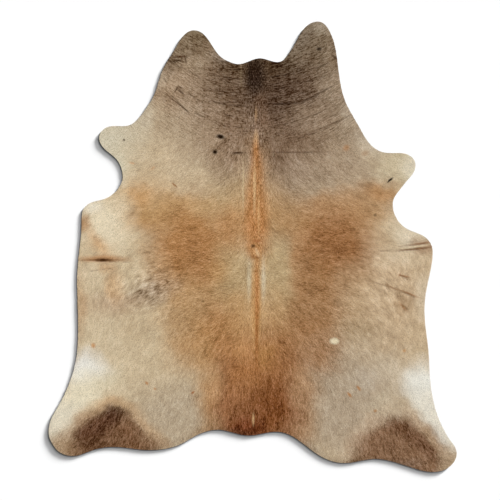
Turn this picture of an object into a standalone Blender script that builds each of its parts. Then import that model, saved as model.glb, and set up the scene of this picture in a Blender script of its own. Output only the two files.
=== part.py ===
# A cowhide rug: one whole hide, tanned with its hair on, trimmed round the legs and neck, and laid hair side up.
#
# Units are metres. +Z is up, +Y runs along the backbone towards the neck, and +X is to the right of someone who
# looks down on the rug with its neck away from them. The origin is on the floor, under the middle of the rug.

import math

import bmesh
import bpy
from mathutils import Vector, geometry, kdtree

# Driving dimensions. The outline below is drawn at this length, and LENGTH scales it.
LENGTH = 2.250
DRAWN_LENGTH = 2.254

# The leather and the hair that lies on it, through their full depth.
BACK_THICKNESS = 0.0060  # along the backbone, where a hide is thickest
BELLY_THICKNESS = 0.0044  # at the flanks, which are split thinner
BACK_HALF_WIDTH = 0.65  # from the backbone to where the belly thickness starts
RIM_THICKNESS = 0.0038  # at the cut edge, where the hair bends down
RIM_ROLL = 0.012  # how far in from the cut edge the full depth starts

# Mesh spacings.
RIM_STEP = 0.020
FIELD_STEP = 0.065
CREASE_STEP = 0.024
RIM_CLEARANCE = 0.030  # between the field's points and the rim
CREASE_CLEARANCE = 0.016  # between the field's points and a crease's points
LEAST_GAP = 0.0035  # between the points of neighbouring creases

# The trimmed outline, clockwise from above. heading is the direction in which the cutter travels there, in degrees
# anticlockwise from +X.
OUTLINE = (
    # name, x, y, heading
    ("right neck tip", 0.327, 1.127, 0),
    ("right neck tip, outer side", 0.393, 1.062, -66),
    ("right neck, upper side", 0.424, 0.930, -83),
    ("right neck, lower side", 0.454, 0.755, -73),
    ("right shoulder slope", 0.540, 0.587, -62),
    ("right front of foreleg", 0.630, 0.481, -26),
    ("right foreleg, top edge", 0.735, 0.469, 0),
    ("right foreleg tip", 0.815, 0.407, -90),
    ("right foreleg, underside", 0.752, 0.305, -126),
    ("right armpit", 0.701, 0.212, -90),
    ("right chest slope", 0.785, 0.083, -24),
    ("right elbow", 0.881, 0.031, -52),
    ("right flank, front", 0.901, -0.025, -90),
    ("right flank, slope", 0.880, -0.165, -103),
    ("right waist", 0.860, -0.320, -90),
    ("right flank, rear", 0.883, -0.570, -88),
    ("right thigh", 0.906, -0.780, -77),
    ("right shank", 0.976, -0.950, -59),
    ("right hind tip", 1.021, -1.036, -90),
    ("right hind heel", 0.987, -1.100, -140),
    ("right hind sole", 0.903, -1.127, 180),
    ("right hind instep", 0.755, -1.092, 163),
    ("right hind bay", 0.615, -1.062, 180),
    ("right ham", 0.458, -1.083, 180),
    ("right ham slope", 0.287, -1.012, 142),
    ("right of the tail", 0.118, -0.926, 180),
    ("tail stub", -0.022, -0.945, 180),
    ("left of the tail", -0.176, -0.916, 180),
    ("left ham slope", -0.330, -0.972, -148),
    ("left ham", -0.520, -1.018, 180),
    ("left hind bay", -0.698, -1.002, 180),
    ("left hind instep", -0.805, -1.020, -161),
    ("left hind sole", -0.902, -1.047, 180),
    ("left hind heel", -0.990, -1.005, 125),
    ("left hind tip", -1.021, -0.928, 90),
    ("left shank", -0.968, -0.790, 59),
    ("left thigh", -0.902, -0.640, 72),
    ("left waist", -0.873, -0.420, 90),
    ("left flank", -0.878, -0.165, 90),
    ("left flank, front", -0.856, 0.100, 88),
    ("left elbow", -0.838, 0.200, 50),
    ("left chest slope", -0.755, 0.235, 14),
    ("left below the armpit", -0.678, 0.283, 50),
    ("left armpit", -0.650, 0.348, 90),
    ("left foreleg, underside", -0.700, 0.456, 142),
    ("left foreleg tip", -0.768, 0.545, 90),
    ("left foreleg, top edge", -0.700, 0.604, 4),
    ("left front of foreleg", -0.603, 0.615, 33),
    ("left shoulder slope", -0.513, 0.723, 55),
    ("left neck, lower side", -0.460, 0.860, 72),
    ("left neck, upper side", -0.390, 0.988, 60),
    ("left neck tip", -0.293, 1.083, 0),
    ("left neck tip, inner side", -0.202, 1.005, -58),
    ("left throat slope", -0.133, 0.933, -24),
    ("left of the poll", -0.072, 0.914, 0),
    ("poll", 0.037, 0.943, 0),
    ("right of the poll", 0.124, 0.924, 0),
    ("right throat slope", 0.194, 0.986, 55),
    ("right neck tip, inner side", 0.256, 1.090, 50),
)

# Folds pressed into the hide. height is a ridge's, or a trough's where it is negative, at the middle of its length.
CREASES = (
    # name, x from, y from, x to, y to, height, half width
    ("left flank fold, trough", -0.865, -0.068, -0.585, -0.064, -0.0022, 0.008),
    ("left flank fold, upper lip", -0.860, -0.048, -0.620, -0.045, 0.0022, 0.012),
    ("left flank fold, lower lip", -0.865, -0.089, -0.610, -0.086, 0.0018, 0.012),
    ("left flank, second fold", -0.862, -0.140, -0.725, -0.113, 0.0020, 0.013),
    ("right flank fold, ridge", 0.705, -0.008, 0.880, 0.010, 0.0030, 0.007),
    ("right flank fold, upper trough", 0.700, 0.007, 0.876, 0.022, -0.0018, 0.006),
    ("right flank fold, lower trough", 0.680, -0.022, 0.886, -0.002, -0.0020, 0.007),
    ("neck fold, poll", -0.330, 0.745, 0.150, 0.735, 0.0014, 0.014),
    ("neck fold, right of the mane", 0.050, 0.700, 0.350, 0.752, 0.0016, 0.013),
    ("neck fold, right shoulder", 0.190, 0.545, 0.455, 0.645, 0.0015, 0.013),
    ("neck fold, left shoulder", -0.435, 0.775, -0.300, 0.660, 0.0018, 0.012),
    ("neck fold, left throat", -0.400, 0.880, -0.235, 0.790, 0.0015, 0.014),
    ("neck fold, base of the neck", 0.055, 0.472, 0.340, 0.468, 0.0012, 0.012),
)
CREASE_ROWS = (-1.0, -0.5, 0.0, 0.5, 1.0)  # lines of points along a crease, in half widths from its middle

# Where the edge of the hide has dried a little off the floor.
LIFTS = (
    # name, x, y, radius, height
    ("left neck tip", -0.293, 1.110, 0.20, 0.0010),
    ("right neck tip", 0.330, 1.150, 0.22, 0.0012),
    ("left foreleg", -0.800, 0.560, 0.18, 0.0010),
    ("right foreleg", 0.850, 0.420, 0.18, 0.0010),
    ("left hind foot", -1.030, -1.000, 0.26, 0.0012),
    ("right hind foot", 1.020, -1.110, 0.26, 0.0012),
)

# The hair's average colour, linear.
COAT_COLOUR = (0.42, 0.31, 0.20, 1.0)
COAT_ROUGHNESS = 0.75


def clear_scene():
    for old in list(bpy.data.objects):
        bpy.data.objects.remove(old)


def eased(share):
    """0 below 0, 1 above 1, and a smooth S between."""
    share = min(1.0, max(0.0, share))
    return share * share * (3.0 - 2.0 * share)


def handle_share(leaving, arriving):
    """The handle's length over the chord's, for a round curve that leaves and arrives at these angles to its chord."""
    sine = (math.sin(leaving) - math.sin(arriving) / 16) * (math.sin(arriving) - math.sin(leaving) / 16)
    swing = math.sqrt(2) * sine * (math.cos(leaving) - math.cos(arriving))
    golden = (math.sqrt(5) - 1) / 2
    return (2 + swing) / (3 * (1 + golden * math.cos(leaving) + (1 - golden) * math.cos(arriving)))


def curve_between(start, end):
    """Points from one row of OUTLINE up to the next, about RIM_STEP apart, without the last."""
    scale = LENGTH / DRAWN_LENGTH
    a = Vector(start[1:3]) * scale
    b = Vector(end[1:3]) * scale
    chord = b - a
    chord_angle = math.atan2(chord.y, chord.x)
    leaving = math.radians(start[3]) - chord_angle
    arriving = chord_angle - math.radians(end[3])
    out = Vector((math.cos(leaving + chord_angle), math.sin(leaving + chord_angle)))
    back = Vector((math.cos(chord_angle - arriving), math.sin(chord_angle - arriving)))
    out_handle = a + out * chord.length * handle_share(leaving, arriving)
    back_handle = b - back * chord.length * handle_share(arriving, leaving)
    steps = max(2, round(chord.length * 1.04 / RIM_STEP))
    return geometry.interpolate_bezier(a, out_handle, back_handle, b, steps + 1)[:-1]


def rim_points():
    """The whole outline, anticlockwise."""
    points = []
    for start, end in zip(OUTLINE, OUTLINE[1:] + OUTLINE[:1]):
        points += curve_between(start, end)
    return [Vector((p.x, p.y)) for p in reversed(points)]


def inset(points, distance):
    """The closed line moved inwards by a distance."""
    moved = []
    for before, here, after in zip(points[-1:] + points[:-1], points, points[1:] + points[:1]):
        along = (after - before).normalized()
        moved.append(here + Vector((-along.y, along.x)) * distance)
    return moved


def tree_of(points):
    tree = kdtree.KDTree(len(points))
    for index, point in enumerate(points):
        tree.insert(point.to_3d(), index)
    tree.balance()
    return tree


def crease_points(rim):
    """Rows of points along every crease, so that the mesh can take its section."""
    points = []
    for _, x0, y0, x1, y1, _, half_width in CREASES:
        start = Vector((x0, y0))
        run = Vector((x1, y1)) - start
        across = Vector((-run.y, run.x)).normalized()
        steps = max(3, round(run.length / CREASE_STEP))
        for step in range(steps + 1):
            for row in CREASE_ROWS:
                point = start + run * (step / steps) + across * (row * half_width)
                if rim.find(point.to_3d())[2] < RIM_ROLL + LEAST_GAP:
                    continue
                if all((point - other).length > LEAST_GAP for other in points):
                    points.append(point)
    return points


def field_points(outline, creases):
    """A staggered field of points over the outline's box, clear of the rim and of the creases."""
    rim = tree_of(outline)
    folds = tree_of(creases)
    low = Vector((min(p.x for p in outline), min(p.y for p in outline)))
    high = Vector((max(p.x for p in outline), max(p.y for p in outline)))
    row_step = FIELD_STEP * math.sqrt(3) / 2
    points = []
    for row in range(math.ceil((high.y - low.y) / row_step)):
        stagger = FIELD_STEP / 2 * (row % 2)
        for column in range(math.ceil((high.x - low.x) / FIELD_STEP)):
            point = Vector((low.x + column * FIELD_STEP + stagger, low.y + row * row_step))
            clear_of_rim = rim.find(point.to_3d())[2] > RIM_CLEARANCE
            if clear_of_rim and folds.find(point.to_3d())[2] > CREASE_CLEARANCE:
                points.append(point)
    return points


def floor_gap(x, y):
    """How far the underside stands off the floor."""
    gap = 0.0
    for _, lift_x, lift_y, radius, height in LIFTS:
        share = 1.0 - math.hypot(x - lift_x, y - lift_y) / radius
        gap = max(gap, height * eased(share))
    return gap


def crease_rise(x, y):
    """What the creases add to the top, or take from it."""
    rise = 0.0
    for _, x0, y0, x1, y1, height, half_width in CREASES:
        run = Vector((x1 - x0, y1 - y0))
        from_start = Vector((x - x0, y - y0))
        along = from_start.dot(run) / run.length_squared
        if not 0.0 < along < 1.0:
            continue
        offset = abs(run.cross(from_start)) / run.length
        section = eased(1.0 - offset / half_width)
        rise += height * section * math.sin(math.pi * along)
    return rise


def depth(x):
    """Leather and hair together, by the distance from the backbone."""
    share = eased(abs(x) / BACK_HALF_WIDTH)
    return BACK_THICKNESS + (BELLY_THICKNESS - BACK_THICKNESS) * share


def top_height(point, on_rim):
    full = RIM_THICKNESS if on_rim else depth(point.x)
    rise = 0.0 if on_rim else crease_rise(point.x, point.y)
    return floor_gap(point.x, point.y) + full + rise


def build_hide():
    outline = rim_points()
    shoulder = inset(outline, RIM_ROLL)
    creases = crease_points(tree_of(outline))
    points = outline + shoulder + creases + field_points(outline, creases)
    count = len(outline)
    loop = [(i, (i + 1) % count) for i in range(count)]
    triangulated = geometry.delaunay_2d_cdt(points, loop, [], 1, 1e-6)
    places, faces, sources = triangulated[0], triangulated[2], triangulated[3]
    on_rim = [any(source < count for source in origin) for origin in sources]

    mesh = bmesh.new()
    used = sorted({corner for face in faces for corner in face})
    upper = {i: mesh.verts.new((*places[i], top_height(places[i], on_rim[i]))) for i in used}
    lower = {i: mesh.verts.new((*places[i], floor_gap(*places[i]))) for i in used}
    for face in faces:
        mesh.faces.new([upper[i] for i in face])
        mesh.faces.new([lower[i] for i in reversed(face)])
    borders = [edge for edge in mesh.edges if edge.is_boundary]
    bmesh.ops.bridge_loops(mesh, edges=borders)
    bmesh.ops.recalc_face_normals(mesh, faces=mesh.faces)

    data = bpy.data.meshes.new("hide")
    mesh.to_mesh(data)
    mesh.free()
    data.shade_smooth()
    hide = bpy.data.objects.new("hide", data)
    bpy.context.scene.collection.objects.link(hide)
    hide.data.materials.append(coat_material())
    return hide


def coat_material():
    material = bpy.data.materials.new("champagne cow hair")
    material.use_nodes = True
    shader = material.node_tree.nodes["Principled BSDF"]
    shader.inputs["Base Color"].default_value = COAT_COLOUR
    shader.inputs["Roughness"].default_value = COAT_ROUGHNESS
    shader.inputs["Metallic"].default_value = 0.0
    return material


clear_scene()
build_hide()
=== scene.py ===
# %% [markdown]
# # A cowhide rug
#
# The object is a whole cowhide, tanned with its hair on, trimmed round the neck and legs, and laid flat on
# the floor with the hair up. It has three things to model: the leather sheet with its cut edge, the short
# hair that lies on it, and the coat's colours, which run from a grey-brown neck over fawn shoulders to a
# brown rump.
#
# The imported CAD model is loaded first. Everything else is measured from it, so that the looks fit the
# solid.

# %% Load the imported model
import math

import bmesh
import bpy
import numpy as np
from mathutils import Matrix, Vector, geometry, kdtree
from mathutils.bvhtree import BVHTree


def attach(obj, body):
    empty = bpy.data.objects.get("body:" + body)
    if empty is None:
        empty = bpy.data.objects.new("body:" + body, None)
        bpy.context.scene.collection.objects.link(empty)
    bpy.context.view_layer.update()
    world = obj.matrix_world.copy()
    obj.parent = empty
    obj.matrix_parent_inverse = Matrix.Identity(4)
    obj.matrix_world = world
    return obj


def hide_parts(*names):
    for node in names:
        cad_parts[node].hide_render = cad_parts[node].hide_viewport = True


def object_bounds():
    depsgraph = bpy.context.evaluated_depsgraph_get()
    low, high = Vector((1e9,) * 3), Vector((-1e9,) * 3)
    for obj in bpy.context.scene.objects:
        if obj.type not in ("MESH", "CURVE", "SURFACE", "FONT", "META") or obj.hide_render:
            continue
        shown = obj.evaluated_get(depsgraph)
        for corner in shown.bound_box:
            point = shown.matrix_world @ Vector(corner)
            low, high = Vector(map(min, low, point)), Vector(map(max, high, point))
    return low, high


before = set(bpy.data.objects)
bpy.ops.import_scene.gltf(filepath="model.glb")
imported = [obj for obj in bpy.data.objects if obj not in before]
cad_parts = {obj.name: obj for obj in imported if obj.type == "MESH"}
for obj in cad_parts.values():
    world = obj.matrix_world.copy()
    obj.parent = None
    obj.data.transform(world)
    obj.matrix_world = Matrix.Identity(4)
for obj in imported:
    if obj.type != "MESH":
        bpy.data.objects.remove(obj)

cad_low, cad_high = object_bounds()
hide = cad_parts["hide"]
print("CAD box", [round(v, 4) for v in cad_low], [round(v, 4) for v in cad_high])

# %% [markdown]
# ## The camera
#
# The photo was taken from straight above. 2.5 m of floor fills its square, and the rug is a little off its
# middle. A real camera would hang about six metres up with a portrait lens, which is far enough that the
# rug's 7 mm of depth shows no perspective. The camera's top is the neck's side, +Y.

# %% Hang the camera over the rug
PHOTO_SIDE = 2.5
PHOTO_CENTRE = (-0.01325, -0.01675)
LENS_MM = 85
SENSOR_MM = 36

camera_data = bpy.data.cameras.new("camera overhead")
camera_data.lens = LENS_MM
camera_data.sensor_width = SENSOR_MM
camera = bpy.data.objects.new("camera overhead", camera_data)
camera_height = PHOTO_SIDE / 2 / (SENSOR_MM / 2 / LENS_MM)
camera.location = (*PHOTO_CENTRE, camera_height)
bpy.context.scene.collection.objects.link(camera)
bpy.context.scene.camera = camera
print("camera height", round(camera_height, 2), "m")

# %% [markdown]
# ## The cut edge's line
#
# The CAD solid already has the trimmed outline. Its line is read from the loaded solid: it is where the
# flat underside meets the upright edge. The solid's corners are 20 mm apart, so the line is rounded through
# them with a Catmull-Rom curve, which passes through every corner it is given.

# %% Read the outline from the solid
FLAT_NORMAL = 0.5  # a face whose normal is steeper than this is top or underside, and not edge
CORNERS_MEET = 1e-5
RIM_PARTS = 3  # pieces that each of the solid's 20 mm steps is cut into


def rim_corners(solid):
    """The solid's lower edge all the way round, as an array of x and y, anticlockwise from above."""
    mesh = bmesh.new()
    mesh.from_mesh(solid.data)
    bmesh.ops.remove_doubles(mesh, verts=mesh.verts, dist=CORNERS_MEET)
    mesh.normal_update()
    links = {}
    for edge in mesh.edges:
        slopes = sorted(face.normal.z for face in edge.link_faces)
        if len(slopes) == 2 and slopes[0] < -FLAT_NORMAL < slopes[1] < FLAT_NORMAL:
            a, b = edge.verts
            links.setdefault(a, []).append(b)
            links.setdefault(b, []).append(a)
    start = next(iter(links))
    walk = [start, links[start][0]]
    while walk[-1] != start:
        walk.append(next(v for v in links[walk[-1]] if v != walk[-2]))
    corners = np.array([v.co.xy[:] for v in walk[:-1]])
    mesh.free()
    after = np.roll(corners, -1, axis=0)
    turning = (corners[:, 0] * after[:, 1] - corners[:, 1] * after[:, 0]).sum()
    return corners if turning > 0 else corners[::-1]


def rounded(corners, parts):
    """A Catmull-Rom curve through a closed line's corners, with this many points for each of its steps."""
    before = np.roll(corners, 1, axis=0)
    after = np.roll(corners, -1, axis=0)
    beyond = np.roll(corners, -2, axis=0)
    points = []
    for part in range(parts):
        t = part / parts
        line = corners + (after - before) * t / 2
        line = line + (before - 2.5 * corners + 2 * after - 0.5 * beyond) * t ** 2
        line = line + (1.5 * (corners - after) + 0.5 * (beyond - before)) * t ** 3
        points.append(line)
    return np.stack(points, axis=1).reshape(-1, 2)


def inset(line, distance):
    """The closed line moved inwards by a distance."""
    along = np.roll(line, -1, axis=0) - np.roll(line, 1, axis=0)
    along /= np.linalg.norm(along, axis=1, keepdims=True)
    return line + np.stack([-along[:, 1], along[:, 0]], axis=1) * distance


rim = rounded(rim_corners(hide), RIM_PARTS)
rim_steps = np.linalg.norm(np.roll(rim, -1, axis=0) - rim, axis=1)
print(len(rim), "rim points, cut edge", round(rim_steps.sum(), 2), "m long")

# %% [markdown]
# ## Maps of the hide
#
# Skin and hair both need to know, at any place, how high the solid's two faces are and how far it is to the
# cut edge. Asking the solid for each of four hundred thousand locks of hair would be slow. So the answers
# are worked out once on a 6 mm lattice, with rays shot down from above and up from below, and `sampled`
# blends the four nearest answers.

# %% Measure the solid on a lattice
MAP_STEP = 0.006
MAP_MARGIN = 0.030
LAST_CELL = 1.001  # keeps a place at the far border within the lattice's last cell
RAY_START = 1.0
FILL_ROUNDS = 6  # how many lattice steps the heights are carried on outside the rim

map_origin = np.array([cad_low.x - MAP_MARGIN, cad_low.y - MAP_MARGIN])
map_size = np.array([cad_high.x + MAP_MARGIN, cad_high.y + MAP_MARGIN]) - map_origin


def lattice(step):
    """The x and the y of every node of a lattice over the hide, as two arrays of rows."""
    columns, rows = np.ceil(map_size / step).astype(int) + 1
    x = map_origin[0] + np.arange(columns) * step
    y = map_origin[1] + np.arange(rows) * step
    return np.meshgrid(x, y)


def sampled(grid, step, x, y):
    """The grid's value at each place, blended from the four nodes round it."""
    u = np.clip((x - map_origin[0]) / step, 0, grid.shape[1] - LAST_CELL)
    v = np.clip((y - map_origin[1]) / step, 0, grid.shape[0] - LAST_CELL)
    i, j = u.astype(int), v.astype(int)
    right, up = u - i, v - j
    near = grid[j, i] * (1 - right) + grid[j, i + 1] * right
    far = grid[j + 1, i] * (1 - right) + grid[j + 1, i + 1] * right
    return near * (1 - up) + far * up


def within_rim(x, y):
    """Which nodes of a lattice lie inside the rim, by counting the rim's crossings to their left."""
    ends = np.roll(rim, -1, axis=0)
    inside = np.zeros(x.shape, bool)
    for row in range(len(y)):
        level = y[row, 0]
        crossed = (rim[:, 1] <= level) != (ends[:, 1] <= level)
        a, b = rim[crossed], ends[crossed]
        crossings = np.sort(a[:, 0] + (b[:, 0] - a[:, 0]) * (level - a[:, 1]) / (b[:, 1] - a[:, 1]))
        inside[row] = np.searchsorted(crossings, x[row]) % 2 == 1
    return inside


def distances_to(line, x, y):
    """How far each place is from a closed line."""
    tree = kdtree.KDTree(len(line))
    for index, point in enumerate(line):
        tree.insert((*point, 0.0), index)
    tree.balance()
    places = zip(x.ravel().tolist(), y.ravel().tolist())
    return np.array([tree.find((a, b, 0.0))[2] for a, b in places]).reshape(x.shape)


map_x, map_y = lattice(MAP_STEP)
inside = within_rim(map_x, map_y)
rim_distance = distances_to(rounded(rim, RIM_PARTS), map_x, map_y) * np.where(inside, 1, -1)
hide_area = inside.sum() * MAP_STEP ** 2
print("lattice", map_x.shape, "hide area", round(hide_area, 3), "m2")

# %% Shoot rays at both faces
def face_heights(solid, from_z):
    """Where rays shot straight down, or up from below, meet the solid, with gaps left where they miss."""
    mesh = solid.data
    tree = BVHTree.FromPolygons([v.co for v in mesh.vertices], [p.vertices[:] for p in mesh.polygons])
    heights = np.full(map_x.shape, np.nan)
    for j, i in np.argwhere(rim_distance > -MAP_STEP / 2):
        hit = tree.ray_cast((map_x[j, i], map_y[j, i], from_z), (0, 0, -math.copysign(1, from_z)))[0]
        if hit is not None:
            heights[j, i] = hit.z
    return heights


def carried_outwards(heights):
    """The heights with the gaps next to known ones filled by their mean, round after round, and 0 beyond."""
    for _ in range(FILL_ROUNDS):
        shifted = [np.roll(heights, shift, axis) for shift in (-1, 1) for axis in (0, 1)]
        known = np.sum([~np.isnan(s) for s in shifted], axis=0)
        total = np.sum([np.nan_to_num(s) for s in shifted], axis=0)
        fill = np.isnan(heights) & (known > 0)
        heights = np.where(fill, total / np.maximum(known, 1), heights)
    return np.nan_to_num(heights)


top_map = carried_outwards(face_heights(hide, RAY_START))
under_map = carried_outwards(face_heights(hide, -RAY_START))
print("top up to", round(top_map.max() * 1000, 2), "mm,")
print("underside up to", round(under_map.max() * 1000, 2), "mm")

# %% [markdown]
# ## Which way the hair lies
#
# A cow's hair grows back from the head and down the sides. On a hide laid flat that becomes a pattern:
# straight towards the tail along the backbone, out over the shoulder blades, slanting out and back over the
# ribs, and along the legs. A short table gives the direction at a few named places of the right half. The
# left half mirrors it about the backbone, and each place's say fades with distance, so the directions turn
# smoothly between them. Close to the backbone all hair keeps straight.

# %% Spread a few hair directions over the whole hide
SPINE_X = 0.017
STRAIGHT_BESIDE_SPINE = (0.04, 0.11)
STREAMS = (
    # name, x right of the backbone, y, reach, heading in degrees anticlockwise from +X
    ("poll", 0.0, 0.9, 0.16, -90),
    ("neck lobe", 0.3, 1.0, 0.2, -78),
    ("side of the neck", 0.36, 0.75, 0.18, -66),
    ("crest", 0.0, 0.6, 0.14, -90),
    ("withers", 0.0, 0.3, 0.1, -90),
    ("shoulder", 0.36, 0.5, 0.18, -48),
    ("foreleg", 0.74, 0.4, 0.16, -14),
    ("shoulder blade", 0.33, 0.05, 0.2, 2),
    ("beside the withers", 0.14, 0.05, 0.07, -40),
    ("back", 0.0, 0.0, 0.07, -90),
    ("elbow", 0.72, 0.1, 0.14, -50),
    ("ribs", 0.3, -0.24, 0.18, -8),
    ("lower ribs", 0.52, -0.38, 0.16, -48),
    ("loin", 0.0, -0.4, 0.08, -90),
    ("beside the loin", 0.16, -0.4, 0.09, -45),
    ("belly", 0.84, -0.25, 0.15, -88),
    ("haunch", 0.32, -0.62, 0.16, -68),
    ("stifle", 0.72, -0.6, 0.16, -66),
    ("rump", 0.08, -0.8, 0.16, -90),
    ("ham", 0.42, -0.95, 0.14, -82),
    ("hock", 0.74, -0.96, 0.14, -70),
    ("hind leg", 0.98, -0.98, 0.14, -48),
)


def ramp(value, start, full):
    """0 up to the start, 1 from full on, and smooth between."""
    share = np.clip((value - start) / (full - start), 0, 1)
    return share * share * (3 - 2 * share)


def stream_map():
    """The hair's direction at every lattice node, as the x and the y of a unit arrow."""
    aside = np.abs(map_x - SPINE_X)
    along_x = np.zeros(map_x.shape)
    along_y = np.zeros(map_x.shape)
    for _, x, y, reach, heading in STREAMS:
        weight = np.exp(-((aside - x) ** 2 + (map_y - y) ** 2) / (2 * reach ** 2)) + 1e-9
        along_x += weight * math.cos(math.radians(heading))
        along_y += weight * math.sin(math.radians(heading))
    along_x *= ramp(aside, *STRAIGHT_BESIDE_SPINE)
    length = np.hypot(along_x, along_y)
    side = np.clip((map_x - SPINE_X) / MAP_STEP, -1, 1)
    return along_x / length * side, along_y / length


stream_x, stream_y = stream_map()
print(len(STREAMS), "hair directions spread over", stream_x.size, "nodes")

# %% [markdown]
# ## Flecks, rucks and strands
#
# Hairs that grow side by side have much the same colour, so a coat looks flecked along its lie, not speckled.
# Smearing plain random numbers along the hair's direction gives that: each lattice node takes the mean of the
# random numbers that a hair through it would pass over. Small and broad flecks cover the whole hide. On the
# neck the skin is finely rucked, and the hair breaks there in short lines across its lie: the same numbers,
# smeared across, paint the rucks' light and shade. Along the backbone the hair is coarser, in long strands.
# On the sides it is softer and in broader locks, and a table says where it is tousled, so that it is streaked
# more than elsewhere. Lines finer than these lattices are drawn by the material.

# %% Smear random numbers along the hair, or across it
FLECK_STEP = 0.0033
BROAD_STEP = 0.009
CLOUD_STEP = 0.024
LOCK_GAP = 0.005  # a fleck is set off from what lies this far beside it


def smeared(step, reach, seed, crispness=0.0, across=False):
    """Random numbers smeared by so many nodes each way and set off from those beside, with a spread of 1."""
    x, y = lattice(step)
    noise = np.random.default_rng(seed).normal(size=x.shape)
    run_x = sampled(stream_x, MAP_STEP, x, y)
    run_y = sampled(stream_y, MAP_STEP, x, y)
    if across:
        run_x, run_y = -run_y, run_x
    total = np.zeros(x.shape)
    for hop in range(-reach, reach + 1):
        total += sampled(noise, step, x + run_x * hop * step, y + run_y * hop * step)
    beside = [sampled(total, step, x - run_y * gap, y + run_x * gap) for gap in (-LOCK_GAP, LOCK_GAP)]
    total -= crispness * sum(beside) / 2
    return total / total.std()


flecks = smeared(FLECK_STEP, reach=1, seed=11, crispness=0.3)
broad_flecks = smeared(BROAD_STEP, reach=1, seed=12)
clouds = smeared(CLOUD_STEP, reach=1, seed=15)
# The rucks' lines across the neck are painted light and shade.
rucks = smeared(FLECK_STEP, reach=3, seed=13, crispness=0.9, across=True)
strands = smeared(FLECK_STEP, reach=4, seed=14, crispness=0.9)
print("fleck lattices", flecks.shape, broad_flecks.shape)

# %% Say how pale or dark the hair is at any place
RUCKS_START_Y, RUCKS_FULL_Y = 0.36, 0.62
RUCK_GAIN = 0.4
STRAND_GAIN = 0.6
BROAD_SHARE = 0.5
CLOUD_SHARE = 0.35
SOFTER_NECK = 0.5  # share of the flecks that the neck's rucks take the place of
RUCKS_LOST = 0.5  # share of the rucks that the strands of the backbone cover
SOFTER_SIDES = 0.4
BROADER_SIDES = 0.5
SIDES_START, SIDES_FULL = 0.40, 0.62  # from the backbone
HOCKS_Y, STIFLES_Y = -0.85, -0.75  # the sides end between these
STRAND_REACH = 0.045  # from the backbone
STRANDS_END_Y, STRANDS_FULL_Y = -0.65, -0.05
TOUSLED = (
    # name, x, y, reach, how much stronger the hair is streaked there
    ("left ribs", -0.53, -0.2, 0.11, 2.1),
    ("left belly", -0.72, -0.27, 0.06, 0.8),
    ("right ribs", 0.68, -0.2, 0.15, 1.1),
    ("right side", 0.55, -0.45, 0.18, 0.4),
    ("between the ribs", -0.28, -0.28, 0.14, 0.25),
    ("left of the withers", -0.08, 0.56, 0.16, 1.0),
    ("left shoulder", -0.42, 0.5, 0.16, 0.25),
    ("right shoulder", 0.35, 0.42, 0.16, 0.25),
    ("throat", 0.12, 0.8, 0.16, -0.15),
    ("left neck lobe", -0.36, 0.92, 0.12, 0.1),
    ("rump", 0.02, -0.76, 0.2, -0.18),
    ("right shoulder blade", 0.35, 0.0, 0.2, -0.1),
)


def tousled(x, y):
    """How much stronger than elsewhere the hair is streaked."""
    gain = np.ones(x.shape)
    for _, middle_x, middle_y, reach, more in TOUSLED:
        gain += more * np.exp(-((x - middle_x) ** 2 + (y - middle_y) ** 2) / reach ** 2)
    return gain


def on_sides(x, y):
    """How much a place belongs to the sides."""
    aside = ramp(np.abs(x - SPINE_X), SIDES_START, SIDES_FULL)
    return aside * (1 - ramp(y, RUCKS_START_Y, RUCKS_FULL_Y)) * ramp(y, HOCKS_Y, STIFLES_Y)


def streak(x, y):
    """How pale or dark the hair is at a place, beside the hair round it."""
    neck = ramp(y, RUCKS_START_Y, RUCKS_FULL_Y)
    spine = np.exp(-((x - SPINE_X) / STRAND_REACH) ** 2) * ramp(y, STRANDS_END_Y, STRANDS_FULL_Y)
    sides = on_sides(x, y)
    off_neck = 1 - SOFTER_NECK * neck
    total = sampled(flecks, FLECK_STEP, x, y) * off_neck * (1 - spine) * (1 - SOFTER_SIDES * sides)
    total += sampled(rucks, FLECK_STEP, x, y) * neck * RUCK_GAIN * (1 - RUCKS_LOST * spine)
    total += sampled(strands, FLECK_STEP, x, y) * spine * STRAND_GAIN
    total += sampled(broad_flecks, BROAD_STEP, x, y) * BROAD_SHARE * (1 + BROADER_SIDES * sides) * off_neck
    total += sampled(clouds, CLOUD_STEP, x, y) * CLOUD_SHARE * off_neck
    return total * tousled(x, y)


middle_streak = streak(np.array([SPINE_X]), np.array([0.0]))
print("streak in the middle of the back", round(middle_streak[0], 2))
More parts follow.
